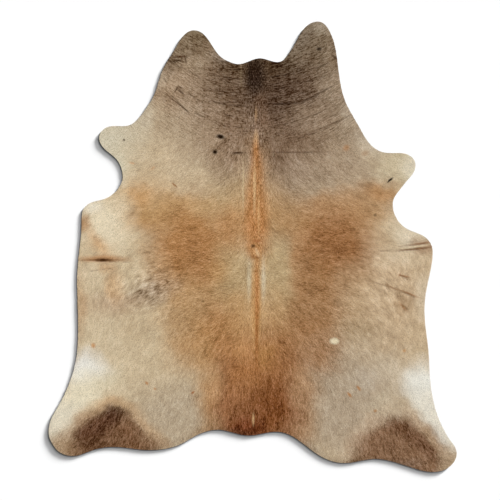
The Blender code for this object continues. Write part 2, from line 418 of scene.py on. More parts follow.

# %% [markdown]
# ## Folds and wrinkles
#
# The neck of a cow is wrinkled, and the wrinkles stay in the leather: thin furrows that run across the neck
# and rise towards its sides. Here and there a sharper crease was pressed in when the hide was folded. Each is
# a row of a table, with its two ends, how far its middle bows aside, and its size. The wrinkles between them
# are drawn at random from a fixed seed. All are stamped into two fine lattices: how far the leather rises,
# and how much painted shade the parted hair gets there.

# %% List the folds that stand out
FOLDS = (
    # name, x from, y from, x to, y to, bow, half width, rise, darkness of the painted shade
    ("left neck, scratch", -0.428, 0.778, -0.3, 0.65, 0.0, 0.0035, -0.0012, 0.85),
    ("left neck, outer fold", -0.418, 0.925, -0.318, 0.95, -0.006, 0.006, -0.0012, 0.8),
    ("left neck, slanting fold", -0.405, 0.915, -0.235, 0.822, 0.01, 0.004, -0.001, 0.55),
    ("left neck, upper line", -0.365, 0.975, -0.21, 0.932, 0.004, 0.0035, -0.0008, 0.35),
    ("left neck, curl", -0.392, 0.797, -0.338, 0.755, 0.006, 0.006, -0.001, 0.7),
    ("left neck, edge line", -0.465, 0.862, -0.418, 0.808, 0.003, 0.004, -0.0008, 0.5),
    ("left neck, long slant", -0.415, 0.815, -0.235, 0.705, 0.008, 0.0035, -0.0008, 0.45),
    ("left neck, lower slant", -0.24, 0.645, -0.1, 0.582, 0.0, 0.0035, -0.0008, 0.45),
    ("left throat, first", -0.24, 0.868, -0.05, 0.838, -0.004, 0.0035, -0.001, 0.65),
    ("left throat, second", -0.24, 0.795, -0.06, 0.768, -0.004, 0.0035, -0.001, 0.55),
    ("left throat, third", -0.23, 0.732, -0.02, 0.702, -0.006, 0.004, -0.0012, 0.8),
    ("left throat, fourth", -0.205, 0.686, -0.06, 0.642, -0.004, 0.0035, -0.0008, 0.45),
    ("left throat, fifth", -0.178, 0.612, 0.05, 0.594, -0.006, 0.0035, -0.001, 0.55),
    ("left throat, short line", -0.105, 0.468, -0.046, 0.469, 0.0, 0.0045, -0.001, 0.95),
    ("right throat, first", 0.045, 0.855, 0.23, 0.85, -0.004, 0.0035, -0.0008, 0.45),
    ("right throat, second", 0.045, 0.795, 0.215, 0.796, -0.004, 0.0035, -0.0008, 0.45),
    ("right throat, long fold", 0.055, 0.718, 0.412, 0.815, -0.042, 0.0042, -0.0014, 0.85),
    ("right throat, third", 0.062, 0.634, 0.15, 0.633, 0.0, 0.004, -0.0008, 0.55),
    ("right throat, fourth", 0.09, 0.592, 0.19, 0.59, 0.0, 0.0035, -0.0008, 0.45),
    ("right neck, top fold", 0.235, 0.88, 0.428, 0.955, -0.018, 0.0042, -0.0012, 0.65),
    ("right neck, second fold", 0.185, 0.822, 0.392, 0.866, -0.014, 0.0038, -0.001, 0.55),
    ("right neck, third fold", 0.21, 0.768, 0.402, 0.806, -0.012, 0.0038, -0.001, 0.55),
    ("right neck, lower fold", 0.235, 0.642, 0.382, 0.7, -0.01, 0.0038, -0.001, 0.6),
    ("right neck, short fold", 0.335, 0.632, 0.464, 0.7, -0.008, 0.0038, -0.001, 0.5),
    ("right shoulder, long fold", 0.18, 0.53, 0.5, 0.672, -0.018, 0.004, -0.0012, 0.7),
    ("right of the withers", 0.045, 0.473, 0.4, 0.478, -0.003, 0.0035, -0.001, 0.55),
    ("left flank, belly fold", -0.866, -0.06, -0.56, -0.076, -0.003, 0.005, -0.001, 0.45),
    ("left flank, upper line", -0.866, -0.036, -0.7, -0.045, 0.0, 0.004, -0.0006, 0.3),
    ("left flank, second fold", -0.866, -0.132, -0.665, -0.104, 0.004, 0.004, -0.0008, 0.5),
    ("right flank, line over the ridge", 0.7, -0.004, 0.894, 0.019, 0.003, 0.004, -0.0008, 0.55),
    ("right flank, line under the ridge", 0.622, -0.02, 0.896, -0.003, -0.003, 0.0058, -0.001, 0.8),
    ("right flank, scar", 0.552, -0.157, 0.715, -0.212, 0.0, 0.0042, -0.0006, 0.5),
    ("right flank, scar's end", 0.7, -0.208, 0.822, -0.257, 0.003, 0.0052, -0.0008, 0.75),
    ("right flank, nick", 0.732, -0.14, 0.795, -0.168, 0.0, 0.0062, -0.0008, 0.8),
    ("right flank, low nick", 0.742, -0.285, 0.784, -0.318, 0.0, 0.0065, -0.0008, 0.75),
)
print(len(FOLDS), "folds in the table")

# %% Draw the neck's wrinkles and stamp everything
RELIEF_STEP = 0.002
WRINKLE_LEVELS = np.arange(0.50, 0.94, 0.019)  # heights along the backbone
WRINKLES_PER_LEVEL = 4
WRINKLE_RISE = 0.75  # how fast a wrinkle climbs towards the sides: this times the square of the distance
WRINKLE_SCATTER = 0.004
WRINKLE_HALF_LENGTHS = (0.025, 0.085)
# how dark the painted shade in a wrinkle is, from the least to the most
WRINKLE_DARKNESS = (0.22, 0.62)
WRINKLE_HALF_WIDTH = 0.0028
WRINKLE_DEPTH = -0.0007
NECK_REACH = (-0.36, 0.42)
FOLD_STRENGTH, FOLD_CHANGES = 0.75, 0.35  # a fold comes and goes along its length
FAINTEST_FOLD = 0.1
DEEPEST_FOLD = -0.0018


def neck_wrinkles():
    """Rows like those of FOLDS, along lines that rise from the backbone to both sides."""
    rng = np.random.default_rng(21)
    rows = []
    for level in WRINKLE_LEVELS:
        for _ in range(WRINKLES_PER_LEVEL):
            middle = rng.uniform(*NECK_REACH)
            half = rng.uniform(*WRINKLE_HALF_LENGTHS)
            start, end = middle - half, middle + half
            lift = rng.normal(0, WRINKLE_SCATTER)
            y_start = level + lift + WRINKLE_RISE * (start - SPINE_X) ** 2
            y_end = level + lift + WRINKLE_RISE * (end - SPINE_X) ** 2
            bow = -WRINKLE_RISE * half ** 2
            size = (WRINKLE_HALF_WIDTH, WRINKLE_DEPTH, rng.uniform(*WRINKLE_DARKNESS))
            rows.append(("neck wrinkle", start, y_start, end, y_end, bow, *size))
    return rows


def stamp(rise_map, dark_map, fold):
    """Adds one fold to both lattices, in the window round it."""
    _, x0, y0, x1, y1, bow, half_width, rise, darkness = fold
    reach = 2 * half_width + abs(bow)
    low = np.array([min(x0, x1), min(y0, y1)]) - reach - map_origin
    high = np.array([max(x0, x1), max(y0, y1)]) + reach - map_origin
    i0, j0 = np.maximum(low / RELIEF_STEP, 0).astype(int)
    i1, j1 = (high / RELIEF_STEP).astype(int) + 2
    window = (slice(j0, j1), slice(i0, i1))
    x, y = relief_x[window] - x0, relief_y[window] - y0
    length = math.hypot(x1 - x0, y1 - y0)
    along_x, along_y = (x1 - x0) / length, (y1 - y0) / length
    share = np.clip((x * along_x + y * along_y) / length, 0, 1)
    aside = y * along_x - x * along_y - 4 * bow * share * (1 - share)
    section = np.exp(-2 * (aside / half_width) ** 2) * np.sqrt(np.sin(np.pi * share))
    uneven = sampled(broad_flecks, BROAD_STEP, relief_x[window], relief_y[window])
    section *= np.clip(FOLD_STRENGTH + FOLD_CHANGES * uneven, FAINTEST_FOLD, 1)
    rise_map[window] += rise * section
    dark_map[window] = np.maximum(dark_map[window], darkness * section)


relief_x, relief_y = lattice(RELIEF_STEP)
rise_map = np.zeros(relief_x.shape)
dark_map = np.zeros(relief_x.shape)
wrinkles = neck_wrinkles()
for fold in (*FOLDS, *wrinkles):
    stamp(rise_map, dark_map, fold)
rise_map = np.maximum(rise_map, DEEPEST_FOLD)
print(len(wrinkles), "wrinkles, deepest", round(rise_map.min() * 1000, 2), "mm")

# %% [markdown]
# ## The leather
#
# Under the hair is one sheet of leather with three looks: the hair side, the cut edge and the flesh side.
# It is a closed mesh, because the sheet has real thickness. The hair side lies about 2.2 mm, the hair's
# depth, below the top of the solid. Its points are about 8 mm apart, and closer along the neck, where the
# wrinkles run across. The cut edge is a loop of small steps that rounds over at the top, as a knife leaves
# it and feet wear it. The flesh side needs few points, because it is nearly flat.

# %% Say how high the leather is
HAIR_DEPTH = 0.0022
LEAST_LEATHER = 0.0030
NECK_START_Y = 0.46


def under_height(x, y):
    return sampled(under_map, MAP_STEP, x, y)


def skin_height(x, y):
    """The hair side of the leather, under the hair and with its folds."""
    top = sampled(top_map, MAP_STEP, x, y) - HAIR_DEPTH + sampled(rise_map, RELIEF_STEP, x, y)
    return np.maximum(top, under_height(x, y) + LEAST_LEATHER)


def hair_room(x, y):
    """From the leather up to the top of the solid."""
    return np.maximum(sampled(top_map, MAP_STEP, x, y) - skin_height(x, y), 0)


print("hair room", round(hair_room(np.array([0.0]), np.array([0.0]))[0] * 1000, 2), "mm on the back")

# %% Lay out the sheet's points
SKIN_STEP = 0.0085
NECK_ROW_STEP = 0.0046
FLESH_STEP = 0.030
SKIN_GAP, FLESH_GAP = 0.7, 0.4  # shares of a step that stay clear of points along the edge
INSIDE_ONLY = 1  # tells Blender's triangulation to fill the closed line and nothing else
EDGE_PROFILE = (
    # inwards from the cut, share of the leather's thickness
    (0.0018, 1.0),
    (0.0005, 0.86),
    (0.0, 0.5),
    (0.0004, 0.12),
    (0.0014, 0.0),
)


def staggered(step_x, step_y, low_y, high_y):
    """Rows of points over the hide's box, each second row moved by half a step."""
    points = []
    for row, y in enumerate(np.arange(low_y, high_y, step_y)):
        x = np.arange(cad_low.x, cad_high.x, step_x) + step_x / 2 * (row % 2)
        points.append(np.stack([x, np.full(x.shape, y)], axis=1))
    return np.concatenate(points)


def clear_of_rim(points, distance):
    return points[sampled(rim_distance, MAP_STEP, *points.T) > distance]


def filled(loop, field):
    """Triangles over a closed line and the points inside it: points, triangles, and what each point was."""
    places = [tuple(p) for p in np.concatenate([loop, field]).tolist()]
    loop_edges = [(i, (i + 1) % len(loop)) for i in range(len(loop))]
    made = geometry.delaunay_2d_cdt(places, loop_edges, [], INSIDE_ONLY, 1e-7)
    points, faces, sources = made[0], made[2], made[3]
    place_of = [origin[0] if origin else -1 for origin in sources]
    return np.array([p[:] for p in points]), faces, place_of


body_field = staggered(SKIN_STEP, SKIN_STEP * math.sqrt(3) / 2, cad_low.y, NECK_START_Y)
neck_field = staggered(SKIN_STEP, NECK_ROW_STEP, NECK_START_Y, cad_high.y)
skin_field = clear_of_rim(np.concatenate([body_field, neck_field]), SKIN_STEP * SKIN_GAP)
flesh_field = staggered(FLESH_STEP, FLESH_STEP, cad_low.y, cad_high.y)
flesh_field = clear_of_rim(flesh_field, FLESH_STEP * FLESH_GAP)
loops = [inset(rim, distance) for distance, _ in EDGE_PROFILE]
print(len(skin_field), "points on the hair side,", len(flesh_field), "on the flesh side")

# %% Build the closed sheet
HAIR_SIDE, CUT_EDGE, FLESH_SIDE = range(3)
# The rounded shoulder takes the hair side's look, and with it the hair side's painted shade.
RINGS_UNDER_HAIR = 2  # the cut's rounded shoulder still carries hair roots


def sheet_mesh():
    """The leather as one closed mesh."""
    rim_count = len(rim)
    corners = []
    for (_, share), loop in zip(EDGE_PROFILE, loops):
        under = under_height(*loop.T)
        corners.append(np.column_stack([loop, under + (skin_height(*loop.T) - under) * share]))
    faces, looks = [], []
    for level in range(len(loops) - 1):
        for i in range(rim_count):
            after = (i + 1) % rim_count
            a, b = level * rim_count, (level + 1) * rim_count
            faces.append((a + i, b + i, b + after, a + after))
            looks.append(HAIR_SIDE if level < RINGS_UNDER_HAIR else CUT_EDGE)
    for loop, field, height, first, look in (
        (loops[0], skin_field, skin_height, 0, HAIR_SIDE),
        (loops[-1], flesh_field, under_height, (len(loops) - 1) * rim_count, FLESH_SIDE),
    ):
        places, triangles, origins = filled(loop, field)
        start = sum(len(c) for c in corners)
        new_index = {}
        extra = []
        for index, origin in enumerate(origins):
            if 0 <= origin < rim_count:
                new_index[index] = first + origin
            else:
                new_index[index] = start + len(extra)
                extra.append(places[index])
        extra = np.array(extra)
        corners.append(np.column_stack([extra, height(*extra.T)]))
        for triangle in triangles:
            turned = [new_index[i] for i in triangle]
            faces.append(turned if look == HAIR_SIDE else turned[::-1])
            looks.append(look)
    mesh = bpy.data.meshes.new("leather")
    mesh.from_pydata(np.concatenate(corners).tolist(), [], faces)
    mesh.polygons.foreach_set("material_index", looks)
    mesh.shade_smooth()
    mesh.update()
    return mesh


leather = bpy.data.objects.new("leather", sheet_mesh())
bpy.context.scene.collection.objects.link(leather)
triangle_count = sum(len(p.vertices) - 2 for p in leather.data.polygons)
print("leather", len(leather.data.vertices), "vertices,", triangle_count, "triangles")

# %% [markdown]
# ## What the coat's material needs to know
#
# The coat's colours are worked out by nodes, from four values that every point carries: its place on the
# hide, the streak that runs through it, a random value for its own lock of hair, and how much painted shade
# it gets in a crease. A lock takes its place from its root, because a hair belongs to the patch that it grows
# in, wherever its tip ends up.

# %% Attach those values to a mesh
GRAIN_LOST_SIDES = 0.6  # locks differ less from each other on the sides
GRAIN_LOST_NECK = 0.5


def carry(mesh, x, y, root_x, root_y, grain):
    """Stores the place, the streak, the painted shade of the creases and the lock's own random value on every
    vertex.
    """
    place = mesh.attributes.new("place", "FLOAT_VECTOR", "POINT")
    root_places = np.stack([root_x, root_y, np.zeros_like(x)], axis=1)
    place.data.foreach_set("vector", root_places.astype(np.float32).ravel())
    on_neck = ramp(y, RUCKS_START_Y, RUCKS_FULL_Y)
    values = {
        "streak": streak(x, y),
        "grain": grain * (1 - GRAIN_LOST_SIDES * on_sides(x, y)) * (1 - GRAIN_LOST_NECK * on_neck),
        "crease": sampled(dark_map, RELIEF_STEP, x, y),
    }
    for name, value in values.items():
        layer = mesh.attributes.new(name, "FLOAT", "POINT")
        layer.data.foreach_set("value", value.astype(np.float32))


skin_points = np.empty(len(leather.data.vertices) * 3)
leather.data.vertices.foreach_get("co", skin_points)
skin_x, skin_y = skin_points.reshape(-1, 3)[:, :2].T
carry(leather.data, skin_x, skin_y, skin_x, skin_y, np.zeros(len(skin_x)))
print("values carried by", len(skin_x), "vertices")

# %% [markdown]
# ## The hair
#
# A cow has hundreds of hairs on a square centimetre, which is far more than any mesh can hold. So one blade
# stands for a lock of hairs that lie together: four corners, two triangles that share a raised middle line
# from root to tip, about 10 mm long and 3 mm across, and a quarter shorter on the neck. Blades are rooted
# on a staggered lattice with some jitter, follow the hair's direction, and rise no higher than the solid's
# top. Particle hair would look finer close up, but it isn't a mesh, and the exported model would lose it.
#
# The coat is laid in four passes over the whole hide, each a piece of its own: two of short broad underhair
# that cover the leather, and two of longer and thinner guard hair that lie on top. A lock stops where it
# would cross a crease, so that the hair parts there, and is trimmed where it would reach far past the cut
# edge.

# %% Write the recipe for the four passes
LOCKS_PER_PASS = 97000
PASSES = (
    # name, seed, length, width, lowest tip, highest tip (shares of the room for hair)
    ("underhair_1", 31, 0.009, 0.0038, 0.15, 0.4),
    ("underhair_2", 32, 0.0095, 0.0036, 0.25, 0.55),
    ("guard_hair_1", 33, 0.01, 0.0026, 0.45, 0.8),
    ("guard_hair_2", 34, 0.011, 0.0024, 0.6, 1.0),
)
lock_step = math.sqrt(hide_area / LOCKS_PER_PASS)
print("locks", round(lock_step * 1000, 2), "mm apart in each pass")

# %% Root the locks and find their directions
ROOT_CLEARANCE = 0.0006
JITTER = 0.45  # how far a root strays from its lattice, in lattice steps
WOBBLE_DEGREES = 9.0  # how far locks turn aside, each by itself
SWAY_SHARE = 0.6  # and this share of it together with those round them
SWAY_STRETCH = 0.7


def roots(rng):
    """A jittered, staggered lattice of places inside the rim, with each one's column and row."""
    columns, rows = (map_size / lock_step).astype(int)
    column, row = np.meshgrid(np.arange(columns), np.arange(rows))
    column, row = column.ravel(), row.ravel()
    start = rng.uniform(0, 1, 2)
    jitter = rng.uniform(-JITTER, JITTER, (2, len(column)))
    x = map_origin[0] + (column + start[0] + 0.5 * (row % 2) + jitter[0]) * lock_step
    y = map_origin[1] + (row + start[1] + jitter[1]) * lock_step
    kept = sampled(rim_distance, MAP_STEP, x, y) > ROOT_CLEARANCE
    return x[kept], y[kept], column[kept], row[kept]


def directions(rng, x, y):
    """A unit arrow along each lock."""
    run_x = sampled(stream_x, MAP_STEP, x, y)
    run_y = sampled(stream_y, MAP_STEP, x, y)
    sway = sampled(broad_flecks, BROAD_STEP, y * SWAY_STRETCH, x * SWAY_STRETCH) * WOBBLE_DEGREES * SWAY_SHARE
    turn = np.radians(rng.normal(0, WOBBLE_DEGREES, len(x)) + sway)
    turned_x = run_x * np.cos(turn) - run_y * np.sin(turn)
    turned_y = run_x * np.sin(turn) + run_y * np.cos(turn)
    length = np.hypot(turned_x, turned_y)
    return turned_x / length, turned_y / length


print("locks turn aside by about", WOBBLE_DEGREES, "degrees")

# %% Part the hair at creases and trim it at the cut edge
PARTING = 0.30  # darkness of a crease that hair doesn't cross
LOOKS_AHEAD = (0.9, 0.7, 0.5, 0.3, 0.0)  # shares of its length at which a lock looks for one
LEAST_SHARE = 0.35  # of its length that a lock keeps there
PAST_THE_CUT = 0.0006


def shortened(x, y, run_x, run_y, length):
    """The lengths after parting at the creases and trimming at the cut edge."""
    share = np.ones(len(x))
    for ahead in LOOKS_AHEAD:
        dark = sampled(dark_map, RELIEF_STEP, x + run_x * length * ahead, y + run_y * length * ahead)
        share = np.where(dark > PARTING, np.maximum(ahead, LEAST_SHARE), share)
    length = length * share
    inside_by = sampled(rim_distance, MAP_STEP, x, y)
    tip_by = sampled(rim_distance, MAP_STEP, x + run_x * length, y + run_y * length)
    allowed = (inside_by + PAST_THE_CUT) / np.maximum(inside_by - tip_by, 1e-6)
    return length * np.where(tip_by < -PAST_THE_CUT, np.minimum(allowed, 1), 1)


print("roots, directions and lengths ready")

# %% [markdown]
# A UV map gives each lock its own small square of a texture. The squares lie as the roots do, so that the
# texture looks like the hide from above.

# %% Give each lock its place on a texture
SQUARE_FILL = 0.40
LOCK_ON_SQUARE = ((0.0, -1.0), (1.0, 0.0), (0.0, 1.0), (-1.0, 0.0))


def lay_out(mesh, column, row, triangles):
    """Gives each lock its own square of a texture."""
    squares = (map_size / lock_step).max() + 1
    middle = np.stack([column, row], axis=1)[:, None, :] + 0.5
    spread = np.array(LOCK_ON_SQUARE)[None] * SQUARE_FILL
    corners = ((middle + spread) / squares).reshape(-1, 2)
    layer = mesh.uv_layers.new(name="OFBake")
    layer.data.foreach_set("uv", corners[triangles.ravel()].astype(np.float32).ravel())


print("each texture square is filled to", SQUARE_FILL)

# %% Build one pass of hair
BROADEST_AT = 0.4  # share of a lock's length
EAVES = 0.0004  # how far the lock's two sides droop below its middle line
ROOT_DEPTH = 0.0002
SHORTER_NECK = 0.25
LENGTHS = (0.7, 1.3)  # times the length and the width that the table gives
WIDTHS = (0.75, 1.25)
MOST_BEND = 0.12  # share of a lock's length that its tip is set aside


def hair_mesh(name, seed, length, width, low_tip, high_tip):
    """One pass of locks as a mesh of folded blades."""
    rng = np.random.default_rng(seed)
    x, y, column, row = roots(rng)
    count = len(x)
    run_x, run_y = directions(rng, x, y)
    on_neck = ramp(y, RUCKS_START_Y, RUCKS_FULL_Y)
    grown = length * rng.uniform(*LENGTHS, count) * (1 - SHORTER_NECK * on_neck)
    lengths = shortened(x, y, run_x, run_y, grown)
    half = width / 2 * rng.uniform(*WIDTHS, count)
    bend = lengths * rng.uniform(-MOST_BEND, MOST_BEND, count)
    rise = rng.uniform(low_tip, high_tip, count)
    corners = np.empty((count, 4, 3))
    for corner, (ahead, aside) in enumerate((
        (0.0, 0.0),
        (lengths * BROADEST_AT, -half),
        (lengths, bend),
        (lengths * BROADEST_AT, half),
    )):
        corners[:, corner, 0] = x + run_x * ahead - run_y * aside
        corners[:, corner, 1] = y + run_y * ahead + run_x * aside
    places = corners[:, :, 0], corners[:, :, 1]
    lifted = rise[:, None] * hair_room(*places) * np.array([0.0, BROADEST_AT, 1.0, BROADEST_AT])
    droop = np.array([ROOT_DEPTH, EAVES, 0.0, EAVES])
    corners[:, :, 2] = skin_height(*places) + lifted - droop * np.minimum(1, lengths / length)[:, None]

    mesh = bpy.data.meshes.new(name)
    first = np.arange(count)[:, None] * 4
    triangles = (first[:, :, None] + np.array([[0, 1, 2], [0, 2, 3]])).reshape(-1, 3)
    mesh.vertices.add(count * 4)
    mesh.vertices.foreach_set("co", corners.astype(np.float32).ravel())
    mesh.loops.add(len(triangles) * 3)
    mesh.loops.foreach_set("vertex_index", triangles.astype(np.int32).ravel())
    mesh.polygons.add(len(triangles))
    mesh.polygons.foreach_set("loop_start", np.arange(0, len(triangles) * 3, 3, dtype=np.int32))
    mesh.update(calc_edges=True)
    mesh.shade_smooth()
    own = rng.normal(0, 1, count)
    carry(mesh, *[c.ravel() for c in places], *[np.repeat(value, 4) for value in (x, y, own)])
    lay_out(mesh, column, row, triangles)
    return mesh


coat_pieces = []
for row in PASSES:
    piece = bpy.data.objects.new(row[0], hair_mesh(*row))
    bpy.context.scene.collection.objects.link(piece)
    coat_pieces.append(piece)
    print(row[0], len(piece.data.polygons) // 2, "locks,", len(piece.data.polygons), "triangles")

# %% [markdown]
# ## Colours and nodes
#
# Colours are written as sRGB hex values, as a colour picker shows them. Blender's shaders work with linear
# light, so one function converts them. Another adds a node with its settings and its links, and hands back
# the output that the next node needs. That keeps the node trees below short enough to read.

# %% Make the two helpers for materials
MATHS, VECTOR_MATHS, MAP_RANGE = "ShaderNodeMath", "ShaderNodeVectorMath", "ShaderNodeMapRange"
MIX_FACTOR, MIX_A, MIX_B, MIX_RESULT = 0, 6, 7, 2  # a Mix node's colour sockets, by number


def linear(hex_colour):
    """An sRGB hex colour as linear red, green, blue and alpha."""
    channels = [int(hex_colour[i:i + 2], 16) / 255 for i in (1, 3, 5)]
    return (*[c / 12.92 if c <= 0.04045 else ((c + 0.055) / 1.055) ** 2.4 for c in channels], 1.0)


def node(tree, kind, inputs=(), output=0, **settings):
    """Adds a node and hands back one of its outputs.

    The inputs are values or other nodes' outputs: in the order of the sockets, or by their names or numbers.
    """
    made = tree.nodes.new(kind)
    for name, value in settings.items():
        setattr(made, name, value)
    for socket, value in inputs.items() if isinstance(inputs, dict) else enumerate(inputs):
        if isinstance(value, bpy.types.NodeSocket):
            tree.links.new(value, made.inputs[socket])
        else:
            made.inputs[socket].default_value = value
    return made.outputs[output] if made.outputs else None


print("cream is", [round(c, 3) for c in linear("#DED1B6")])

# %% [markdown]
# ## The coat's pattern
#
# The pattern is painted like a watercolour: a pale sand base, then one soft oval patch of colour over the
# other. Each patch is a row of the table, with its middle, its half sizes and its turn in metres and
# degrees, its colour, how strongly it covers, and how soft its border is.

# %% Colours of the neck, shoulders and forelegs
BASE_COLOUR = "#C0AC8C"
FRONT_PATCHES = (
    # name, x, y, half length, half width, turn, colour, strength, softness
    ("left shoulder, pale", -0.4, 0.55, 0.3, 0.2, 0, "#B5A186", 0.7, 0.8),
    ("right shoulder, grey", 0.38, 0.42, 0.3, 0.2, 0, "#A6917A", 0.75, 0.8),
    ("left foreleg", -0.7, 0.53, 0.16, 0.13, 0, "#C8BFA8", 0.9, 0.7),
    ("right foreleg", 0.76, 0.4, 0.14, 0.1, 0, "#C6B799", 0.9, 0.7),
    ("right foreleg, pale tip", 0.81, 0.4, 0.05, 0.07, 0, "#DDD4BE", 0.75, 0.8),
    ("right shoulder, pale rim", 0.59, 0.53, 0.09, 0.05, -25, "#CFC3AF", 0.6, 0.9),
    ("left armpit, sand", -0.54, 0.4, 0.14, 0.14, 0, "#C1AC8C", 0.6, 0.8),
    ("left armpit, pale rim", -0.665, 0.4, 0.045, 0.08, 0, "#CEC8B0", 0.65, 0.9),
    ("left armpit, pale foot", -0.635, 0.335, 0.05, 0.04, 0, "#D8CAAE", 0.5, 0.9),
    ("left chest, gold", -0.56, 0.262, 0.055, 0.045, 0, "#BC8F5C", 0.6, 0.9),
    ("right chest, orange band", 0.64, 0.29, 0.075, 0.045, 12, "#A97C4E", 0.6, 0.9),
    ("right armpit, pale", 0.71, 0.18, 0.045, 0.06, 0, "#CEBDA1", 0.55, 0.9),
    ("right chest, tan band", 0.43, 0.225, 0.15, 0.05, 8, "#B68C60", 0.45, 0.9),
    ("neck, grey brown", 0.04, 0.86, 0.48, 0.4, 0, "#8B745D", 0.95, 0.5),
    ("neck, middle", 0.06, 0.62, 0.26, 0.26, 0, "#84694F", 0.7, 0.6),
    ("left neck folds, pale", -0.395, 0.8, 0.125, 0.085, 0, "#AE967C", 0.75, 0.8),
    ("left neck lobe, dark", -0.33, 1.02, 0.14, 0.1, 0, "#806D56", 0.85, 0.7),
    ("left neck lobe, pale", -0.285, 0.92, 0.06, 0.04, 0, "#AD987E", 0.55, 0.9),
    ("left neck, pale edge", -0.555, 0.68, 0.05, 0.06, 0, "#C4B8A2", 0.55, 0.9),
    ("left neck lobe, outer fold", -0.42, 0.915, 0.06, 0.055, 40, "#634F3B", 0.75, 0.9),
    ("left neck, lower fold", -0.43, 0.745, 0.11, 0.04, -10, "#846A50", 0.5, 0.9),
    ("right neck lobe, grey", 0.31, 1.02, 0.14, 0.14, 0, "#7E6D58", 0.85, 0.7),
    ("right neck, outer rim", 0.425, 0.945, 0.03, 0.075, 0, "#6C573F", 0.75, 0.9),
    ("right neck tip, pale", 0.335, 1.115, 0.06, 0.04, 0, "#AC9F8C", 0.65, 0.9),
    ("right neck, lower dark", 0.46, 0.58, 0.09, 0.05, 0, "#86725B", 0.55, 0.8),
    ("right neck edge, pale", 0.44, 0.72, 0.08, 0.22, 12, "#A28E76", 0.8, 0.8),
    ("throat, dark", 0.1, 0.78, 0.3, 0.16, 0, "#64503F", 0.85, 0.8),
    ("right throat", 0.16, 0.69, 0.135, 0.18, 0, "#5F4A3B", 0.6, 0.9),
    ("mane, fading", 0.06, 0.74, 0.13, 0.14, 0, "#4B382B", 0.35, 0.9),
    ("crest, paler", 0.04, 0.725, 0.03, 0.05, 0, "#7C604A", 0.5, 0.9),
    ("left of the mane, dark rim", -0.085, 0.915, 0.085, 0.045, 0, "#463018", 0.78, 0.9),
    ("right of the mane, dark", 0.11, 0.9, 0.1, 0.08, 0, "#3F2C16", 0.75, 0.9),
    ("right of the withers, grey", 0.15, 0.485, 0.14, 0.165, 0, "#806853", 0.7, 0.8),
    ("left of the withers, grey", -0.1, 0.52, 0.11, 0.17, 0, "#876E58", 0.65, 0.8),
    ("left of the leaf, pale", -0.048, 0.415, 0.03, 0.07, 0, "#B89F81", 0.7, 0.9),
    ("left of the leaf, pale top", -0.005, 0.505, 0.025, 0.035, 0, "#A88868", 0.45, 0.9),
    ("right of the leaf, pale", 0.058, 0.43, 0.022, 0.055, 0, "#B5936F", 0.55, 0.9),
    ("left neck, pale gap", -0.215, 0.575, 0.06, 0.05, 0, "#AC967C", 0.55, 0.9),
    ("right neck, light", 0.31, 0.66, 0.11, 0.075, 0, "#A8927A", 0.6, 0.9),
    ("right neck, upper light", 0.4, 0.805, 0.06, 0.06, 0, "#B09C84", 0.6, 0.9),
    ("left throat, pale", -0.21, 0.7, 0.065, 0.05, 0, "#A48D75", 0.5, 0.9),
    ("left neck, pale slope", -0.335, 0.685, 0.055, 0.055, 0, "#B29D84", 0.5, 0.9),
    ("right of the withers, pale", 0.235, 0.41, 0.055, 0.07, 0, "#A8927A", 0.55, 0.9),
    ("left neck lobe, inner rim", -0.16, 0.955, 0.045, 0.03, 0, "#A39483", 0.55, 0.9),
    ("left neck lobe, right rim", -0.268, 1.078, 0.055, 0.05, 0, "#6C5A41", 0.7, 0.9),
    ("right neck, pale rim", 0.49, 0.67, 0.03, 0.05, 0, "#C4B59F", 0.5, 0.9),
    ("crest, paler foot", 0.05, 0.635, 0.03, 0.05, 0, "#8C6F58", 0.5, 0.9),
    ("left shoulder, tan", -0.26, 0.3, 0.07, 0.05, 0, "#AC9170", 0.5, 0.9),
    ("right neck lobe, inner rim", 0.18, 0.965, 0.045, 0.03, 0, "#84745F", 0.65, 0.9),
    ("right throat, pale gap", 0.235, 0.905, 0.05, 0.04, 0, "#84725E", 0.5, 0.9),
    ("left neck, edge", -0.48, 0.825, 0.04, 0.045, 0, "#B6A58D", 0.6, 0.9),
    ("right neck lobe, grey inside", 0.23, 1.05, 0.06, 0.06, 0, "#7B6D5D", 0.5, 0.9),
)
print(len(FRONT_PATCHES), "patches in front")

